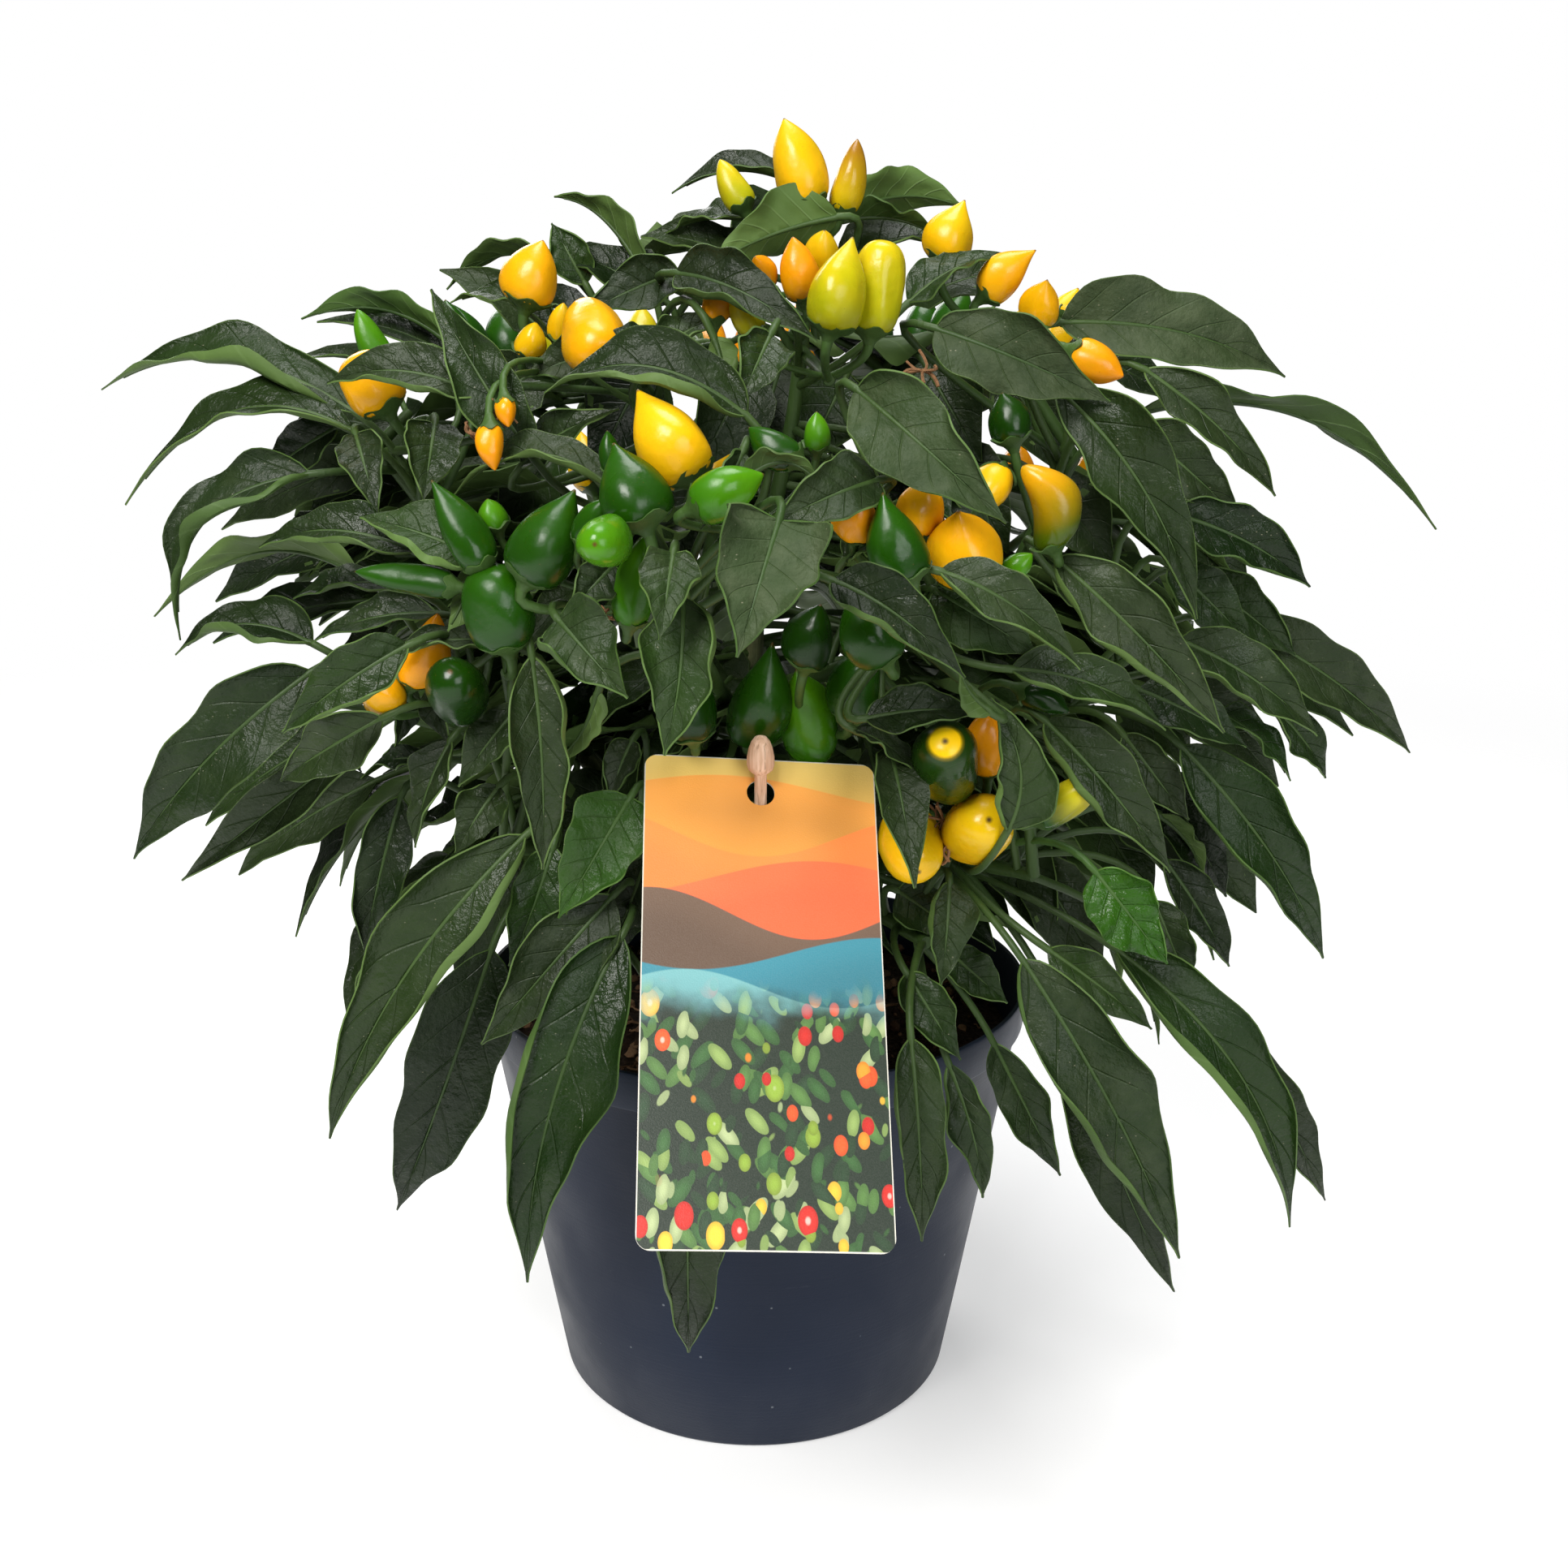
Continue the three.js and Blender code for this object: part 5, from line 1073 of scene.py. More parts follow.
def vein_lines(paint, along, out, width):
    """The side veins as thin uneven lines that run forward to the margin, strongest next to the midrib."""
    wander = (paint.noise(55, 2) - 0.5) * 0.075
    phase = (along - out * LEAF["vein_slant"] + wander * out) * LEAF["veins"]
    gap = paint.math("ABSOLUTE", paint.math("FRACT", phase) - 0.5)
    return paint.step(gap, 0.5 - width, 0.5) * paint.step(out, 0.95, 0.35, 0.2, 1)


def leaf_top():
    """Dark green with a paler margin, a grey bloom in patches, small dry dots and shallow quilting."""
    paint = Paint("leaf_top", Roughness=0.42, Specular_IOR_Level=0.23)
    along, out = paint.blade_place()
    tone, fresh, dust = paint.parts(paint.tint()["Color"])
    cloud = paint.step(paint.noise(34, 4) + tone * 0.6, 0.45, 1.1)
    bloom = paint.step(paint.noise(110, 5, 0.65), 0.36, 0.72) * (dust + 0.12)
    veins = vein_lines(paint, along, out, 0.05)
    midrib = paint.step(out, 0.06, 0.012)
    margin = paint.step(out, 0.965, 0.99) * (tone * 0.45 + dust * 0.4 + 0.1)
    margin = margin * paint.step(paint.noise(50, 2), 0.35, 0.65, 0.3, 1)
    dots, amount = paint.dots(700, 0.24, 0.06, (0.80, 0.86), (1, 1, 1.6))
    dots = dots * paint.step(amount, 0.1, 0.9) * paint.step(paint.noise(45, 3), 0.42, 0.6)
    # Each coat: how much it covers, and its colour.
    base = paint.coats(
        (0.0030, 0.0092, 0.0015), (cloud, (0.0120, 0.0250, 0.0048)), (fresh, (0.026, 0.100, 0.005)),
        (dust * 0.3, (0.060, 0.084, 0.034)), (bloom * 0.5, (0.060, 0.080, 0.036)),
        (veins * (dust * 0.3 + 0.05), (0.06, 0.10, 0.03)), (midrib * 0.22, (0.040, 0.075, 0.02)),
        (margin, (0.12, 0.19, 0.055)), (dots * 0.8, (0.22, 0.21, 0.14)))
    height = veins * -0.45 - midrib * 0.3 + paint.noise(900, 2) * 0.2 + paint.noise(190, 4, 0.62) * 1.6
    rough = paint.patches(60, 3, 0.28, 0.46) + dust * 0.25 - fresh * 0.1
    return paint.finish(base, rough, height, 0.0009, 0.8)


def leaf_under():
    paint = Paint("leaf_under", Roughness=0.6, Specular_IOR_Level=0.25)
    along, out = paint.blade_place()
    tone, fresh, _ = paint.parts(paint.tint()["Color"])
    cloud = paint.step(paint.noise(45, 3) + tone * 0.5, 0.4, 1.0)
    veins = vein_lines(paint, along, out, 0.08)
    base = paint.coats((0.040, 0.078, 0.015), (cloud, (0.080, 0.135, 0.032)),
                       (fresh * 0.5, (0.09, 0.24, 0.03)), (veins * 0.4, (0.17, 0.26, 0.10)))
    return paint.finish(base, None, veins * 0.6 + paint.noise(700, 2) * 0.25, 0.0006, 0.5)


def green_stalk():
    paint = Paint("green_stalk", Roughness=0.5, Specular_IOR_Level=0.3)
    tone, fresh, _ = paint.parts(paint.tint()["Color"])
    base = paint.coats((0.016, 0.038, 0.008), (paint.noise(70, 3) * 0.6 + tone * 0.4, (0.055, 0.100, 0.022)),
                       (fresh * 0.35, (0.06, 0.18, 0.02)))
    return paint.finish(base, None, paint.noise(600, 3, stretch=(1, 1, 0.2)), 0.0004, 0.6)


def bark():
    """Green bark with fine ridges, which turns brown towards its foot."""
    paint = Paint("bark", Roughness=0.72)
    ridges = paint.noise(420, 5, 0.6, stretch=(1, 1, 0.16))
    foot = paint.step(paint.height(), 0.19, 0.13)
    base = paint.coats((0.05, 0.07, 0.02), (paint.step(ridges, 0.35, 0.7), (0.16, 0.17, 0.07)),
                       (foot * 0.8, (0.13, 0.085, 0.045)))
    return paint.finish(base, None, ridges, 0.0012, 0.9)


def fruit_skin():
    """Glossy skin in the fruit's own colour, with deeper and lighter patches and a few small specks."""
    paint = Paint("fruit_skin", Roughness=0.3, Specular_IOR_Level=0.3, Subsurface_Weight=0.04,
                  Subsurface_Scale=0.003)
    tint = paint.tint()
    base = tint["Color"]
    deeper = paint.step(paint.noise(60, 3, 0.55) + Value(paint, tint["Alpha"]) * 0.12, 0.5, 0.72)
    base = paint.mix(deeper * 0.4, base, paint.times(base, (0.6, 0.8, 0.5)))
    lighter = paint.step(paint.noise(110, 2), 0.55, 0.8)
    base = paint.mix(lighter * 0.25, base, paint.times(base, (1.2, 1.15, 1.5)))
    dots, _ = paint.dots(800, 0.16, 0.07)
    base = paint.mix(dots * 0.4, base, (0.14, 0.08, 0.02))
    height = paint.noise(130, 2) * 0.9 + paint.noise(700, 2) * 0.1
    return paint.finish(base, paint.patches(90, 3, 0.2, 0.36), height, 0.0010, 0.5)


def pot_plastic():
    """Slate plastic, paler on the band under the rim, with scratches, dots and marks of soil."""
    paint = Paint("pot_plastic_fine", Roughness=0.44, Specular_IOR_Level=0.19)
    band_foot = (POT["height"] - POT["band"]) * SCALE
    band = paint.step(paint.height(), band_foot - 0.0005, band_foot + 0.0005)
    scratch = paint.step(paint.noise(42, 6, 0.7, stretch=(1, 1, 5)), 0.66, 0.78)
    dots, _ = paint.dots(170, 0.10, 0.05)
    soil_marks = paint.step(paint.noise(23, 5, 0.7), 0.68, 0.76)
    base = paint.coats(
        (0.0042, 0.0088, 0.0220), (paint.noise(9, 4, 0.55), (0.0082, 0.0148, 0.0325)),
        (band * 0.4, (0.040, 0.052, 0.080)), (scratch * 0.2, (0.09, 0.105, 0.13)),
        (dots * 0.55, (0.20, 0.22, 0.24)), (soil_marks * 0.3, (0.05, 0.04, 0.03)))
    rings = paint.noise(60, 2, stretch=(0.02, 0.02, 14))
    height = paint.noise(1500, 2) * 0.3 + rings * 0.35 + scratch * 0.3
    return paint.finish(base, paint.patches(30, 4, 0.38, 0.54), height, 0.0003, 0.5)


def peat():
    paint = Paint("peat_fine", Roughness=0.95, Specular_IOR_Level=0.15)
    grains = paint.noise(420, 6, 0.7)
    base = paint.ramp(grains, [(0.3, (0.008, 0.005, 0.003)), (0.5, (0.032, 0.018, 0.011)),
                               (0.68, (0.085, 0.05, 0.03)), (0.8, (0.17, 0.105, 0.06))])
    return paint.finish(base, None, grains, 0.004, 1.0)


def crumb():
    paint = Paint("crumb", Roughness=0.9, Specular_IOR_Level=0.2)
    tone = paint.parts(paint.tint()["Color"])[0]
    base = paint.ramp(tone, [(0.0, (0.018, 0.010, 0.006)), (0.5, (0.075, 0.038, 0.02)),
                             (1.0, (0.26, 0.15, 0.08))])
    return paint.finish(base, None, paint.noise(900, 4), 0.001, 0.8)


def wood():
    paint = Paint("stick_wood_fine", Roughness=0.62, Specular_IOR_Level=0.3)
    grain = paint.noise(700, 4, 0.6, stretch=(1, 1, 0.06))
    lines = paint.step(paint.noise(1500, 2, stretch=(1, 1, 0.03)), 0.62, 0.72)
    base = paint.coats((0.62, 0.37, 0.23), (paint.step(grain, 0.35, 0.7), (0.86, 0.60, 0.43)),
                       (lines * 0.45, (0.27, 0.15, 0.075)))
    return paint.finish(base, None, grain + lines * -0.5, 0.0004, 0.8)


def card_back():
    paint = Paint("card_back", Roughness=0.5)
    base = paint.mix(paint.noise(60, 3), (0.70, 0.66, 0.56), (0.80, 0.77, 0.69))
    return paint.finish(base, None, paint.noise(1200, 2), 0.0002, 0.5)


# The print's rolling bands: level up the card, swing, pace and shift of its wavy upper edge, and the colour.
CARD_BANDS = [
    (0.93, 0.03, 3.6, 0.3, (0.94, 0.38, 0.06)), (0.83, 0.05, 4.4, 2.6, (0.94, 0.25, 0.05)),
    (0.73, 0.045, 3.4, 5.3, (0.86, 0.14, 0.045)), (0.655, 0.05, 4.8, 1.4, (0.13, 0.078, 0.05)),
    (0.575, 0.04, 3.9, 3.9, (0.035, 0.21, 0.27)), (0.50, 0.035, 5.2, 0.6, (0.15, 0.37, 0.38)),
]
# Layers of printed leaves: turn in degrees, scale and shift. Then layers of berries: scale, shift and the
# share of the scattered points that have none.
CARD_LEAVES = [(35, 0.11, 4), (-40, 0.12, 9), (8, 0.13, 17)]
CARD_BERRIES = [(0.095, 3, 0.42), (0.12, 11, 0.55)]
LEAF_TONES = [
    (0.0, (0.018, 0.055, 0.02)), (0.25, (0.04, 0.125, 0.03)), (0.5, (0.10, 0.22, 0.05)),
    (0.72, (0.28, 0.40, 0.11)), (0.88, (0.42, 0.50, 0.24)),
]
BERRY_TONES = [
    (0.0, (0.62, 0.02, 0.012)), (0.2, (0.86, 0.10, 0.015)), (0.42, (0.90, 0.30, 0.02)),
    (0.64, (0.92, 0.55, 0.04)), (0.84, (0.26, 0.40, 0.04)),
]


def card_bands(paint, across, up):
    base = paint.mix(paint.step(up, 0.88, 1.0), (0.90, 0.52, 0.10), (0.90, 0.62, 0.15))
    for level, swing, pace, shift, colour in CARD_BANDS:
        below = paint.math("SINE", across * pace + shift) * swing + level - up
        shaded = paint.times(colour, paint.grey(paint.step(below, 0.0, 0.09, 1.12, 0.88)))
        base = paint.mix(paint.step(below, -0.002, 0.002), base, shaded)
    return base


def card_plants(paint, flat):
    """Tumbled leaves and berries on a dark ground. Each is shaded at its edge, and berries have a glint."""
    ground = (0.010, 0.022, 0.012)
    for turn, scale, shift in CARD_LEAVES:
        where = paint.turned(paint.by_vector("ADD", flat, (shift, shift, 0)), turn)
        gap, share, hue, _ = paint.cells(scale, where, (1.9, 0.85, 1), 0.95)
        tone = paint.ramp(hue, LEAF_TONES, sharp=True)
        tone = paint.mix(paint.step(gap, 0.1, 0.44) * 0.6, tone, paint.times(tone, (0.4, 0.45, 0.4)))
        ground = paint.mix(paint.step(gap, 0.47, 0.44) * paint.step(share, 0.2, 0.22), ground, tone)
    for scale, shift, bare in CARD_BERRIES:
        where = paint.by_vector("ADD", flat, (shift, 5, 0))
        gap, share, hue, _ = paint.cells(scale, where, (1.25, 0.85, 1), 0.9)
        tone = paint.ramp(hue, BERRY_TONES, sharp=True)
        tone = paint.mix(paint.step(gap, 0.18, 0.34) * 0.55, tone, paint.times(tone, (0.4, 0.3, 0.3)))
        tone = paint.mix(paint.step(gap, 0.12, 0.05) * 0.45, tone, (1, 0.93, 0.8))
        ground = paint.mix(paint.step(gap, 0.33, 0.31) * paint.step(share, bare, bare + 0.02), ground, tone)
    return ground


def card_print():
    """A generic print: rolling bands of colour above, leaves and berries below, and a bare rim."""
    paint = Paint("card_print_fine", Roughness=0.4, Specular_IOR_Level=0.3, Coat_Weight=0.1,
                  Coat_Roughness=0.25)
    across, up = paint.map_place()
    flat = paint.flat(across * CARD["width"], up * CARD["height"])
    edge = paint.noise(0.09, 3, where=flat) * 0.12 + 0.41
    rim = paint.math("MINIMUM", paint.math("MINIMUM", across, 1 - across) * CARD["width"],
                     paint.math("MINIMUM", up, 1 - up) * CARD["height"])
    grain = paint.noise(2600, 2)
    base = paint.coats(
        card_bands(paint, across, up), (paint.step(edge - up, -0.05, 0.05), card_plants(paint, flat)),
        (paint.step(rim, 0.4, 0.2), (0.70, 0.67, 0.58)), (grain * 0.06, (0.75, 0.72, 0.66)))
    return paint.finish(base, None, grain, 0.0002, 0.35)


def dried():
    paint = Paint("dried", Roughness=0.85, Specular_IOR_Level=0.2)
    base = paint.mix(paint.noise(500, 4), (0.10, 0.045, 0.02), (0.36, 0.19, 0.09))
    return paint.finish(base, None, paint.noise(900, 4), 0.001, 0.8)


def floor_white():
    """Pale, and faintly bright of itself, so that its shadow stays soft. It fades into the background."""
    paint = Paint("floor_white", Roughness=0.9, Specular_IOR_Level=0.1, Emission_Color=(1, 1, 1, 1),
                  Emission_Strength=0.42)
    length = paint.node("ShaderNodeVectorMath", operation="LENGTH")
    paint.put(length.inputs[0], paint.place)
    paint.put(paint.shader.inputs["Alpha"], paint.step(length.outputs["Value"], 1.5, 0.5))
    return paint.finish(paint.mix(paint.noise(6, 3), (0.60, 0.60, 0.60), (0.63, 0.63, 0.63)))


# ---- Pieces ----

def ready(piece, slot, *nodes):
    """Puts a piece on the part's one body and hides the CAD nodes that it stands for. Its slot is not used."""
    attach(piece, "root")
    if nodes:
        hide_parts(*nodes)
    return piece


def pot_outline():
    """The pot's section in radius and height: from the middle of its underside up the outside, then down the
    inside. Offsets of tenths of a millimetre round its edges."""
    height, rim, base, wall, floor = (POT[key] for key in ("height", "rim", "base", "wall", "floor"))
    band_foot = height - POT["band"]
    under_band = rim - POT["band_step"]
    flare = rim - POT["band_flare"]
    lean = (under_band - base) / band_foot
    foot = [(0.01, 0), (base - 3, 0), (base - 1.2, 0.3), (base, 1.6)]
    side = [(base + lean * rise, rise + 1) for rise in (40, 90)]
    step = [(under_band - 0.3, band_foot - 1), (under_band + 0.1, band_foot - 0.1),
            (flare - 0.5, band_foot + 0.1), (flare, band_foot + 0.9)]
    lip = [(rim, height - 0.9), (rim - 0.3, height - 0.2), (rim - 0.9, height),
           (rim - wall + 0.4, height - 0.1), (rim - wall, height - 0.7)]
    inside = [(under_band - wall, band_foot - 1), (base - wall + 1, floor + 4), (base - wall - 3, floor),
              (0.01, floor)]
    return foot + side + step + lip + inside


def soil_height(x, y):
    """The height of the soil's uneven surface."""
    waves = math.sin(x / 9 + 1.3) * math.cos(y / 11) + 0.7 * math.sin(y / 6.5 + x / 17 + 0.4)
    return SOIL["top"] + SOIL["lump"] * waves


def edge_fade(share):
    """From 0 where the soil is level to 1 at its edge, where it lies lower."""
    return max(0.0, (share - SOIL["level_to"]) / (1 - SOIL["level_to"]))


def soil_edge():
    """Radius and height of the soil's upper edge, then the radius and height of its foot."""
    foot = POT["floor"] + SOIL["gap"]
    foot_radius = POT["base"] - POT["wall"] - SOIL["gap"]
    slope = (POT["rim"] - POT["band_step"] - POT["base"]) / (POT["height"] - POT["band"] - 1 - POT["floor"])
    edge = SOIL["top"] - SOIL["edge_drop"]
    return foot_radius + slope * (edge - foot), edge, foot_radius, foot


def make_pot():
    shape = Shape()
    lofted(shape, turned(pot_outline(), POT["sides"]))
    pot = shape.make("pot_shell", [pot_plastic()], 40)
    cutters = Shape()
    count, circle, radius = DRAIN_HOLES["count"], DRAIN_HOLES["circle"], DRAIN_HOLES["radius"]
    for k in range(count):
        # Each cutter reaches past both faces of the pot's floor.
        cylinder = turned([(radius, -5), (radius, POT["floor"] + 6)], 24)
        lofted(cutters, cylinder + on_circle(360 * k / count, circle, 0))
    cutter = cutters.make("drain_cutter", [])
    cut = pot.modifiers.new("drain_holes", "BOOLEAN")
    cut.object = cutter
    cut.operation = "DIFFERENCE"
    cut.solver = "EXACT"
    apply_modifiers(pot)
    bpy.data.objects.remove(cutter)
    return ready(pot, "pot_plastic", "pot")


def apply_modifiers(piece):
    """Turns what a piece's modifiers show into its own mesh."""
    graph = bpy.context.evaluated_depsgraph_get()
    mesh = bpy.data.meshes.new_from_object(piece.evaluated_get(graph))
    piece.modifiers.clear()
    piece.data = mesh


def make_soil(draw):
    edge_radius, edge, foot_radius, foot = soil_edge()
    angle = round_angles(SOIL["sides"])
    rings = []
    for k in range(1, SOIL["rings"] + 1):
        share = k / SOIL["rings"]
        ring = []
        for a in angle:
            x, y = math.cos(a) * share * edge_radius, math.sin(a) * share * edge_radius
            z = soil_height(x, y) + SOIL["grain"] * (draw() - 0.5)
            ring.append((x, y, z + (edge - z) * edge_fade(share)))
        rings.append(ring)
    rings.append([(math.cos(a) * foot_radius, math.sin(a) * foot_radius, foot) for a in angle])
    shape = Shape()
    lofted(shape, np.array(rings)[::-1])
    return ready(shape.make("soil_fine", [peat()], 80), "peat", "soil")


def add_crumb(shape, reach, draw):
    place = on_circle(360 * draw(), reach * math.sqrt(draw()), 0)
    size = 0.7 + 1.7 * draw() ** 2
    fade = edge_fade(np.hypot(place[0], place[1]) / reach)
    place[2] = soil_height(place[0], place[1]) - SOIL["edge_drop"] * fade + 0.3 * size
    rings = []
    for height, radius in CRUMB:
        ring = []
        for a in np.arange(6) * math.pi / 3:
            x = math.cos(a) * radius * (0.7 + 0.6 * draw())
            y = math.sin(a) * radius * (0.7 + 0.6 * draw())
            ring.append(place + size * vector(x, y, height * (0.7 + 0.5 * draw())))
        rings.append(ring)
    lofted(shape, np.array(rings), 0, (draw(), 0, 0, 1))


def add_fibre(shape, reach, draw):
    """A thin strand of coir that lies on the soil and bows to one side."""
    place = on_circle(360 * draw(), reach * math.sqrt(draw()), 0)
    turn, length, bend = WHOLE_TURN * draw(), 4 + 9 * draw(), 3 * (draw() - 0.5)
    points = []
    for t in np.linspace(-0.5, 0.5, 6):
        x = place[0] + math.cos(turn) * length * t - math.sin(turn) * bend * t * t * 4
        y = place[1] + math.sin(turn) * length * t + math.cos(turn) * bend * t * t * 4
        points.append((x, y, soil_height(x, y) + 0.5 + 1.5 * draw()))
    tube(shape, smoothed(points), 0.28 + 0.3 * draw(), 5, 0, (0.45 + 0.5 * draw(), 0, 0, 1))


def make_crumbs(draw):
    """Loose grains and coir fibres on top of the soil."""
    shape = Shape()
    reach = soil_edge()[0] - SOIL["clear"]
    for _ in range(SOIL["crumbs"]):
        add_crumb(shape, reach, draw)
    for _ in range(SOIL["fibres"]):
        add_fibre(shape, reach - 2 * SOIL["clear"], draw)
    return ready(shape.make("soil_crumbs", [crumb()], 60), "peat")


def uneven_radii(first, last, count, strength, pace):
    """Radii from the first to the last that swell and shrink a little on the way."""
    return np.linspace(first, last, count) * (1 + strength * np.sin(np.arange(count) * pace))


def make_trunk():
    shape = Shape()
    for path, ends in LIMBS.values():
        points = smoothed(path)
        tube(shape, points, uneven_radii(*ends, len(points), 0.05, 2.1), 16)
    return ready(shape.make("trunk_fine", [bark()], 60), "bark", "trunk")


def on_stick(points):
    """Points that rise from the origin, turned and moved to follow the stick from its foot to its tip."""
    foot, tip = vector(*STICK["foot"]), vector(*STICK["tip"])
    along = unit(tip - foot)
    side = unit(np.cross(vector(0, 1, 0), along))
    return foot + points @ np.array([side, np.cross(along, side), along])


def neck_point():
    """The middle of the stick's neck, where the card's hole is."""
    foot, tip = vector(*STICK["foot"]), vector(*STICK["tip"])
    return tip + unit(foot - tip) * STICK["neck_from_tip"]


def make_stick():
    """A round stick with a neck that passes through the card's hole, and a rounded tip."""
    radius, neck, half = STICK["radius"], STICK["neck"], STICK["neck_height"] / 2
    top = np.linalg.norm(vector(*STICK["tip"]) - vector(*STICK["foot"]))
    middle = top - STICK["neck_from_tip"]
    foot = [(0.3, 0), (1.2, 0.4), (radius * 0.8, 6), (radius, 9), (radius, 80)]
    waist = [(radius, middle - half - 2.6), (radius * 0.93, middle - half - 1.9), (neck, middle - half),
             (neck, middle + half), (radius * 0.86, middle + half + 1.6), (radius * 0.96, middle + half + 3)]
    tip = [(radius * 0.95, top - 6.5), (radius * 0.84, top - 4), (radius * 0.66, top - 1.9),
           (radius * 0.4, top - 0.5), (0.3, top)]
    shape = Shape()
    lofted(shape, on_stick(turned(foot + waist + tip, 32)))
    return ready(shape.make("label_stick_fine", [wood()], 50), "stick_wood", "label_stick")


def card_outline():
    """The card's outline round its hole, with rounded corners and points along its sides."""
    half, corner = CARD["width"] / 2, CARD["corner"]
    low, high = CARD["hole_from_top"] - CARD["height"], CARD["hole_from_top"]
    points = []
    for x, y, first in ((half, low, -90), (half, high, 0), (-half, high, 90), (-half, low, 180)):
        centre = vector(x - math.copysign(corner, x), y + (corner if y == low else -corner))
        for k in range(CARD["corner_steps"] + 1):
            angle = math.radians(first + 90 * k / CARD["corner_steps"])
            points.append(centre + corner * vector(math.cos(angle), math.sin(angle)))
    ring = []
    for a, b in zip(points, points[1:] + points[:1]):
        steps = max(1, int(np.linalg.norm(b - a) / CARD["step"]))
        ring += [a + (b - a) * k / steps for k in range(steps)]
    return np.array(ring)


def rotated(a, b, degrees):
    """Two coordinates after a turn in their plane, from the first towards the second."""
    turn = math.radians(degrees)
    return a * math.cos(turn) - b * math.sin(turn), a * math.sin(turn) + b * math.cos(turn)


def make_card():
    """A thin card, bowed a little across, that leans out at its foot. Its print faces up and forward."""
    outer = card_outline()
    angle = np.arctan2(outer[:, 1], outer[:, 0])
    inner = CARD["hole"] * np.stack([np.cos(angle), np.sin(angle)], -1)
    low = CARD["hole_from_top"] - CARD["height"]
    flat = inner + (outer - inner) * np.array(CARD["rings"])[:, None, None]
    bow = CARD["bow"] * (1 - (flat[..., 0] / (CARD["width"] / 2)) ** 2)
    bow = bow * np.clip(-flat[..., 1] / CARD["bow_full_at"], 0, 1)
    places = np.stack([flat[..., 0] / CARD["width"] + 0.5, (flat[..., 1] - low) / CARD["height"]], -1)
    half = CARD["thickness"] / 2
    front = np.concatenate([flat, (bow + half)[..., None]], -1)
    back = np.concatenate([flat, (bow - half)[..., None]], -1)
    rows, columns = flat.shape[:2]
    count = rows * columns
    faces = grid_faces(rows, columns, closed=True, flip=True)
    more = grid_faces(rows, columns, closed=True, first=count)
    for k in range(columns):
        follow = (k + 1) % columns
        last = (rows - 1) * columns
        more.append((k, follow, follow + count, k + count))
        more.append((last + follow, last + k, last + k + count, last + follow + count))
    points = np.concatenate([front.reshape(-1, 3), back.reshape(-1, 3)])
    x, y, z = points.T
    x, y = rotated(x, y, -CARD["turn"])
    y, z = rotated(y, z, 90 - CARD["lean"])
    x, y = rotated(x, y, CARD["yaw"])
    placed = np.stack([x, y, z], -1) + neck_point()
    shape = Shape()
    shape.add(placed, faces + more, [0] * len(faces) + [1] * len(more),
              np.concatenate([places.reshape(-1, 2)] * 2))
    return ready(shape.make("label_card_fine", [card_print(), card_back()], 40), "card_print", "label_card")


def front_stems():
    stems, index = {}, 0
    for name, row in FRONT_STEMS.items():
        leaves = []
        for k, leaf in enumerate(row["leaves"]):
            leaves.append(seen_leaf(leaf, index, LEAF_LOOKS.get((name, k), "plain")))
            index += 1
        stems[name] = {"path": [vector(*p) for p in row["path"]], "leaves": leaves}
    return stems


def nearest_stem(angle):
    """The number of the back stem whose direction is nearest to an angle."""
    gaps = [abs(stem - angle) for stem in REAR["stem_angles"]]
    return gaps.index(min(gaps)) + 1


def rear_stems():
    draw = seeded_draw(REAR["seed"])
    stems = {}
    for i, angle in enumerate(REAR["stem_angles"]):
        path = [on_circle(angle, r, z) for r, z in REAR["stem_rise"]]
        stems[f"back_{i + 1}"] = {"path": path, "leaves": []}
    index = 0
    for level, (count, first, base_radius, base_z, tip_radius, tip_z, width) in enumerate(REAR["tiers"]):
        step = (180 - 2 * first) / count
        for k in range(count):
            tier_shift = REAR["tier_shift"] if level % 2 else -REAR["tier_shift"]
            angle = first + step * (k + 0.5 + (REAR["place_spread"] * (draw() - 0.5) + tier_shift))
            lift = REAR["lift_spread"] * (draw() - 0.5)
            swing = REAR["swing_spread"] * (draw() - 0.5)
            base = on_circle(angle, base_radius, base_z + lift)
            tip = on_circle(angle + swing, tip_radius, tip_z + REAR["tip_lift"] * lift)
            broad = width * (0.9 + REAR["width_spread"] * draw())
            roll = REAR["roll_spread"] * (draw() - 0.5)
            curls = [curl if draw() < chance else rest for chance, curl, rest in REAR["curls"]]
            faces = on_circle(angle, -VIEW_POINT[1], VIEW_POINT[2])
            leaf = shape_leaf(base, tip, vector(0, 0, 0), broad, faces, roll, curls,
                              REAR["first_leaf"] + index)
            stems[f"back_{nearest_stem(angle)}"]["leaves"].append(leaf)
            index += 1
    return stems


def front_bunches(stems):
    """Each fruit's own stalk leaves the bunch's stalk a step before the last one's."""
    bunches = {}
    for name, row in FRONT_BUNCHES.items():
        path = stems[row["stem"]]["path"]
        end = from_view(*row["hub"])
        at = row["at"] * path_length(path) if "at" in row else length_at(path, end)
        start = point_along(path, at)
        length = np.linalg.norm(end - start)
        looks = FRUIT_LOOKS[name].split()
        fruits = []
        for i, line in enumerate(row["fruits"]):
            share = max(FRUIT["last_stalk"], 1 - (FRUIT["first_stalk"] + FRUIT["stalk_step"] * i) / length)
            fruits.append({**seen_fruit(line), "root": start + (end - start) * share, "look": looks[i]})
        bunches[name] = {"stalk": (start, end), "fruits": fruits}
    return bunches


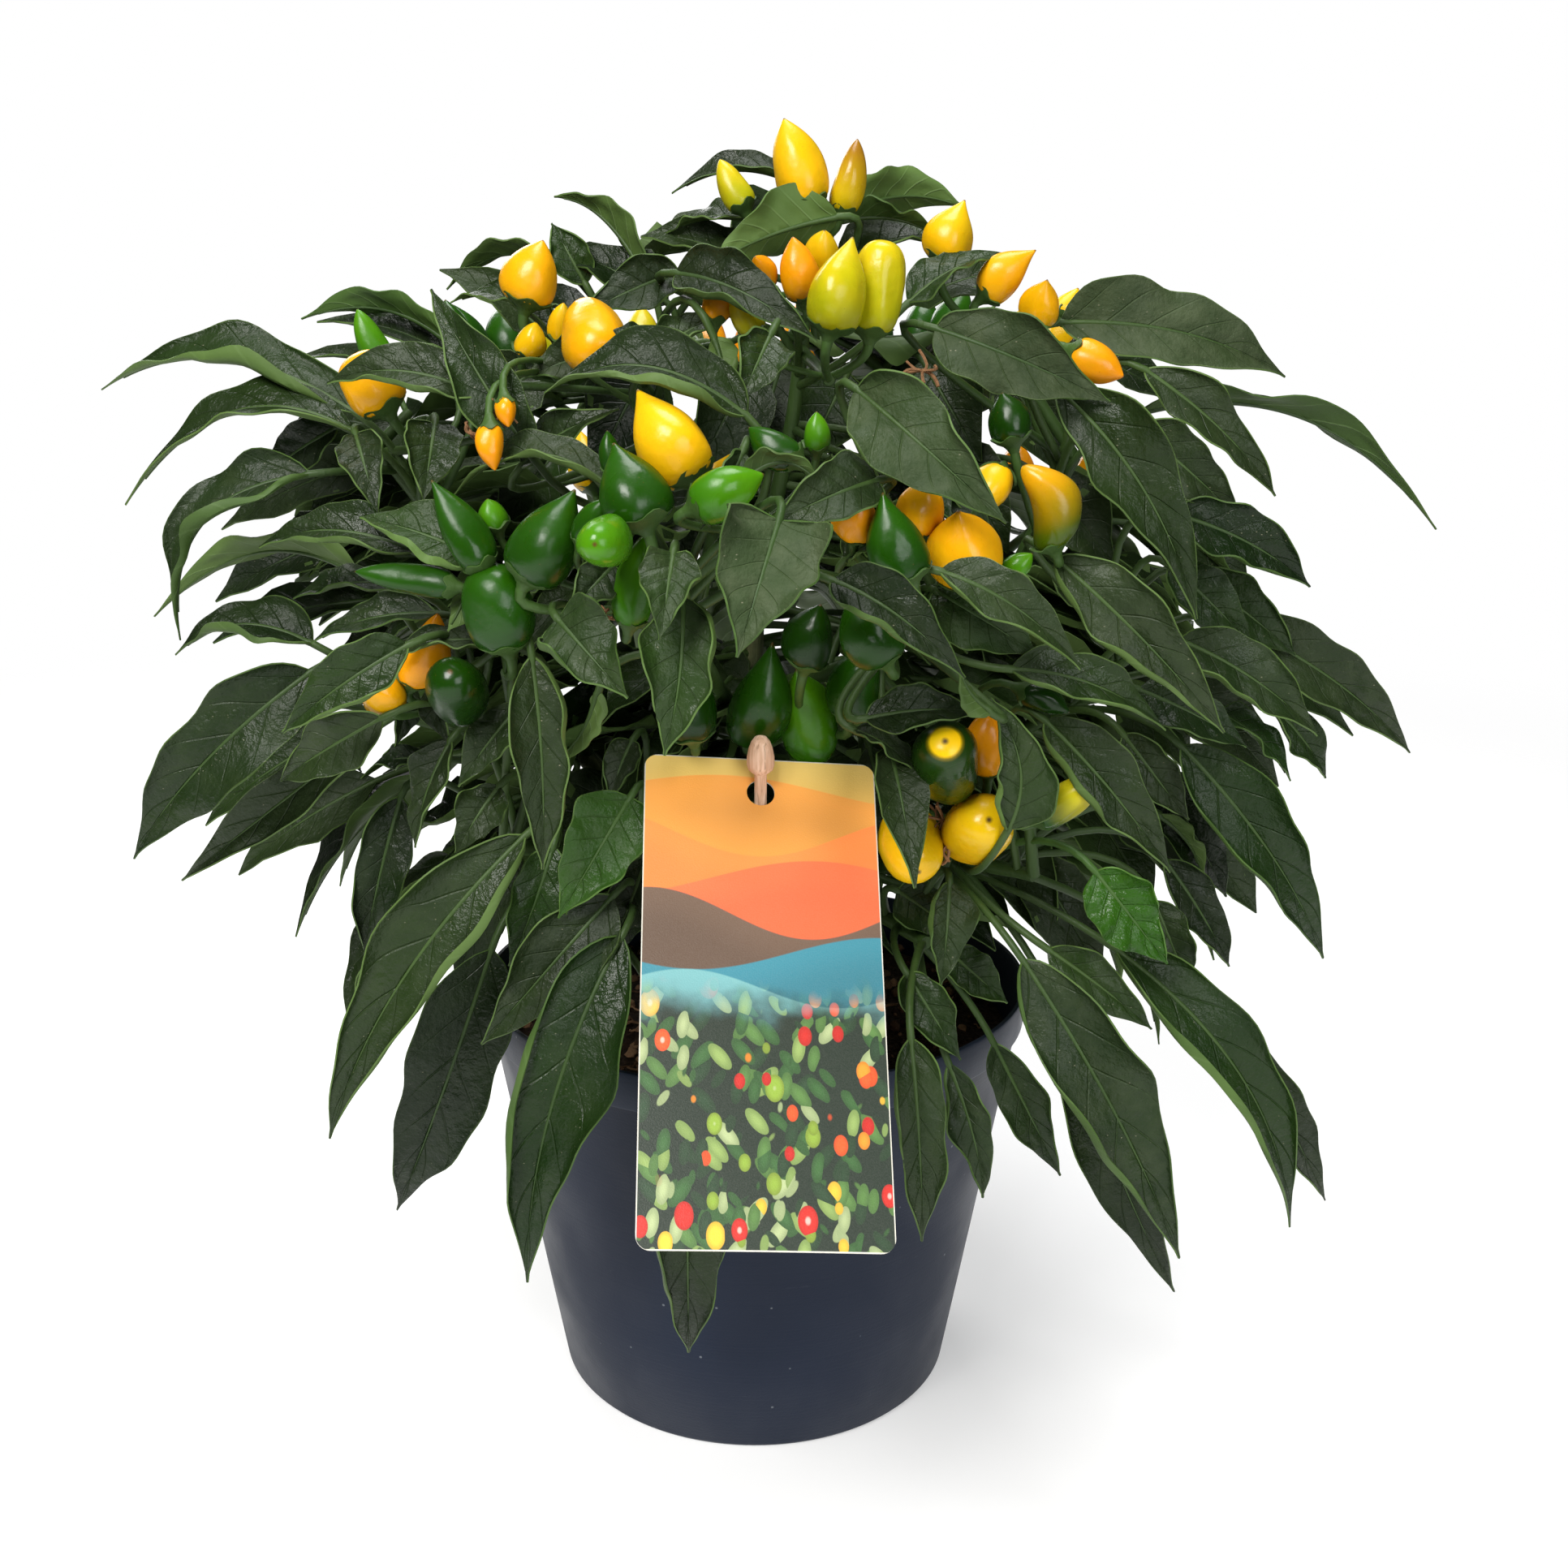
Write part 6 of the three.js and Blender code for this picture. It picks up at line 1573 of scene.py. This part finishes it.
def rear_bunches(stems):
    draw = seeded_draw(REAR["seed"] + 1)
    rule = REAR_FRUIT
    bunches = {}
    for i, (angle, radius, z, tone) in enumerate(REAR_BUNCHES):
        path = stems[f"back_{nearest_stem(angle)}"]["path"]
        end = on_circle(angle, radius - rule["hub_inward"], z - rule["hub_below"])
        start = point_along(path, length_at(path, end))
        fruits = []
        for k, turn in enumerate((0, 1, -1)):
            size = 0.85 + rule["size_spread"] * draw()
            base_z = z + rule["height_spread"] * (draw() - 0.5)
            base = on_circle(angle + turn * rule["fan"], radius - rule["stagger"] * k, base_z)
            tip_angle = angle + turn * (rule["fan"] + rule["fan_spread"] * draw())
            tip = on_circle(tip_angle, radius + rule["lean"] * draw(), base[2] + rule["length"] * size)
            root = start + (end - start) * (1 - rule["stalk_step"] * k)
            fruits.append({"base": base, "tip": tip, "root": root, "radius": rule["diameter"] * size / 2,
                           "look": tone})
        bunches[f"back_{i + 1}"] = {"stalk": (start, end), "fruits": fruits}
    return bunches


def view_of(p):
    """Where a place shows against the mid-plane, and how far it lies in front of it."""
    share = VIEW_POINT[1] / (VIEW_POINT[1] - p[1])
    return vector(p[0] * share, VIEW_POINT[2] + (p[2] - VIEW_POINT[2]) * share), -p[1]


def crowds(leaf, fruit):
    """Whether a leaf comes too close to a fruit or in front of it."""
    seen, forward = view_of((fruit["base"] + fruit["tip"]) / 2)
    axis = fruit["tip"] - fruit["base"]
    for p in bezier(leaf["base"], leaf["control"], leaf["tip"], 6):
        share = np.clip(np.dot(p - fruit["base"], axis) / np.dot(axis, axis), 0, 1)
        gap = np.linalg.norm(p - fruit["base"] - share * axis)
        if gap < fruit["radius"] + INNER["clear"]:
            return True
        place, ahead = view_of(p)
        if ahead > forward - 5 and np.linalg.norm(place - seen) < fruit["radius"] + 1.5 * INNER["clear"]:
            return True
    return False


def nearest_place(paths, target):
    """The place on any of the paths that is nearest to a target."""
    places = [point_along(path, length_at(path, target)) for path in paths]
    return min(places, key=lambda p: np.linalg.norm(p - target))


def inner_leaves(stems, fruits):
    """Small drooping leaves, drawn all through the plant, that close the gaps between the large ones.
    One that would crowd a fruit or the stick is left out."""
    draw = seeded_draw(INNER["seed"])
    paths = [stem["path"] for stem in stems.values()]
    paths += [[vector(*p) for p in path] for path, _ in LIMBS.values()]
    stick = {"base": vector(*STICK["foot"]), "tip": vector(*STICK["tip"]), "radius": STICK["radius"]}
    lowest, highest = INNER["levels"][0], INNER["levels"][-1]
    leaves = []
    for index in range(INNER["count"]):
        z = lowest + (highest - lowest) * draw()
        angle = 360 * draw()
        reach = np.interp(z, INNER["levels"], INNER["reach"]) * (0.45 + 0.55 * math.sqrt(draw()))
        depth = INNER["front"] if angle > 180 else INNER["back"]
        tip = on_circle(angle, reach, z) * vector(1, depth, 1)
        outward = unit(tip * vector(1, 1, 0))
        swing = on_circle(360 * draw(), 0.25, 0)
        length = INNER["length"] * (0.75 + 0.5 * draw())
        base = tip - (outward + swing) * 0.8 * length + vector(0, 0, length * (0.2 + 0.5 * draw()))
        width = INNER["width"] * (0.8 + 0.4 * draw())
        roll = INNER["roll_spread"] * (draw() - 0.5)
        curls = [INNER["curl"] * (draw() < INNER["curl_chance"]) for _ in range(2)]
        # The blade faces outward and up.
        faces = tip + outward * 300 + vector(0, 0, 300)
        leaf = shape_leaf(base, tip, vector(0, 0, 0), width, faces, roll, curls, INNER["first_leaf"] + index)
        if not any(crowds(leaf, fruit) for fruit in [*fruits, stick]):
            leaves.append(leaf)
    for index, row in enumerate(BEHIND):
        leaves.append(seen_leaf(row, INNER["first_behind"] + index, "plain"))
    for leaf in leaves:
        leaf["root"] = nearest_place(paths, leaf["base"] - leaf["start"] * TWIG["reach"] * leaf["length"])
        leaf["grid"] = INNER["grid"]
    return leaves


def make_inner(leaves, materials, draw):
    shape = Shape()
    for leaf in leaves:
        add_leaf(shape, leaf, draw)
    return ready(shape.make("inner_leaves", materials), "leaf")


def make_husks(draw):
    """Curled dry strips where flowers have dropped."""
    shape = Shape()
    for x, z, forward, size in HUSKS:
        centre = from_view(x, z, forward)
        for k in range(7):
            way = unit(vector(draw() - 0.5, draw() - 0.5, draw() - 0.5)) * size * (0.5 + 0.5 * draw())
            curl = vector(draw() - 0.5, draw() - 0.5, draw() - 0.5) * size
            strip = bezier(centre, centre + 0.6 * way + curl, centre + way, 7)
            tube(shape, strip, 0.28 + 0.3 * draw(), 5)
    return ready(shape.make("dried_husks", [dried()], 60), "bark")


def make_stem(name, stem, materials, draw):
    place_roots(stem["leaves"], stem["path"])
    shape = Shape()
    for leaf in stem["leaves"]:
        add_leaf(shape, leaf, draw)
    points = smoothed(stem["path"])
    tube(shape, points, uneven_radii(*TWIG["radius"], len(points), 0.06, 1.9), 12, STALK, (0.4, 0.1, 0, 1))
    return ready(shape.make(f"leafy_stem_{name}_fine", materials), "leaf", f"leafy_stem_{name}")


def make_bunch(name, bunch, slot, skin_material, stalk_material, draw):
    skins, stalks = Shape(), Shape()
    start, end = bunch["stalk"]
    points = bezier(start, (start + end) / 2, end, 6)
    tube(stalks, points, np.linspace(*FRUIT["main"], len(points)), 10, 0, (0.4, 0.2, 0, 1))
    for fruit in bunch["fruits"]:
        add_fruit(skins, stalks, fruit, draw)
    ready(skins.make(f"fruit_bunch_{name}_skins", [skin_material], 70), slot, f"fruit_bunch_{name}")
    ready(stalks.make(f"fruit_bunch_{name}_stalks", [stalk_material], 60), "leaf")


# ---- Stage ----

# Name, place and size in metres, power in watts, colour.
LIGHTS = [
    ("key", (-0.6, -1.25, 1.45), 0.75, 40, (1, 0.985, 0.96)),
    ("fill", (0.8, -1.6, 0.7), 0.9, 14, (0.97, 0.98, 1)),
    ("top", (0.1, 0.1, 1.9), 0.8, 20, (1, 1, 1)),
    ("rear", (-0.6, 1.5, 1.2), 1.0, 16, (1, 1, 1)),
]
# How strongly the white round the plant lights it, against how it looks as a background.
SURROUND = 0.07
# Where the lights point, and how far the floor reaches each way.
LIGHT_AIM = (0, 0, 0.22)
FLOOR_REACH = 1.6


def make_floor():
    mesh = bpy.data.meshes.new("floor")
    corners = [(x * FLOOR_REACH, y * FLOOR_REACH, 0) for x, y in ((-1, -1), (1, -1), (1, 1), (-1, 1))]
    mesh.from_pydata(corners, [], [(0, 1, 2, 3)])
    mesh.materials.append(floor_white())
    floor = shown("floor", mesh)


def make_light(name, place, size, power, colour):
    data = bpy.data.lights.new(name, "AREA")
    data.energy = power
    data.size = size
    data.color = colour
    light = shown(name, data)
    light.location = place
    aim = vector(*LIGHT_AIM) - np.array(place)
    light.rotation_euler = (math.atan2(math.hypot(aim[0], aim[1]), -aim[2]), 0, math.atan2(-aim[0], aim[1]))


def make_world():
    """A white background that lights the plant only softly, so that the leaves keep their depth."""
    world = bpy.data.worlds.new("studio")
    world.use_nodes = True
    nodes, links = world.node_tree.nodes, world.node_tree.links
    level = nodes.new("ShaderNodeMapRange")
    level.inputs["To Min"].default_value = SURROUND
    links.new(nodes.new("ShaderNodeLightPath").outputs["Is Camera Ray"], level.inputs["Value"])
    background = nodes["Background"]
    background.inputs["Color"].default_value = (1, 1, 1, 1)
    links.new(level.outputs[0], background.inputs["Strength"])
    bpy.context.scene.world = world


def make_camera():
    data = bpy.data.cameras.new("photo_camera")
    data.sensor_width = CAMERA["sensor"]
    data.lens = CAMERA["focal_pixels"] * CAMERA["sensor"] / PHOTO_PIXELS
    data.shift_x = CAMERA["shift_pixels"] / PHOTO_PIXELS
    camera = shown("photo_camera", data)
    camera.location = VIEW_POINT * SCALE
    camera.rotation_euler = (math.radians(90 - CAMERA["pitch"]), 0, 0)
    bpy.context.scene.camera = camera
    bpy.context.scene.view_settings.view_transform = "Standard"


def make_stage():
    make_floor()
    for name, place, size, power, colour in LIGHTS:
        make_light(name, place, size, power, colour)
    make_world()
    make_camera()


# ---- The plant ----

def main():
    draw = seeded_draw(SEED)
    make_stage()
    make_pot()
    make_soil(draw)
    make_crumbs(draw)
    make_trunk()
    make_stick()
    make_card()
    leaf_materials = [leaf_top(), leaf_under(), green_stalk()]
    stems = {**front_stems(), **rear_stems()}
    for name, stem in stems.items():
        make_stem(name, stem, leaf_materials, draw)
    skin_material, stalk_material = fruit_skin(), leaf_materials[2]
    slots = {row["node"]: row["material_slot"] for row in frame["record"]["subparts"]}
    bunches = {**front_bunches(stems), **rear_bunches(stems)}
    for name, bunch in bunches.items():
        make_bunch(name, bunch, slots[f"fruit_bunch_{name}"], skin_material, stalk_material, draw)
    fruits = [fruit for bunch in bunches.values() for fruit in bunch["fruits"]]
    make_inner(inner_leaves(stems, fruits), leaf_materials, draw)
    make_husks(draw)


main()
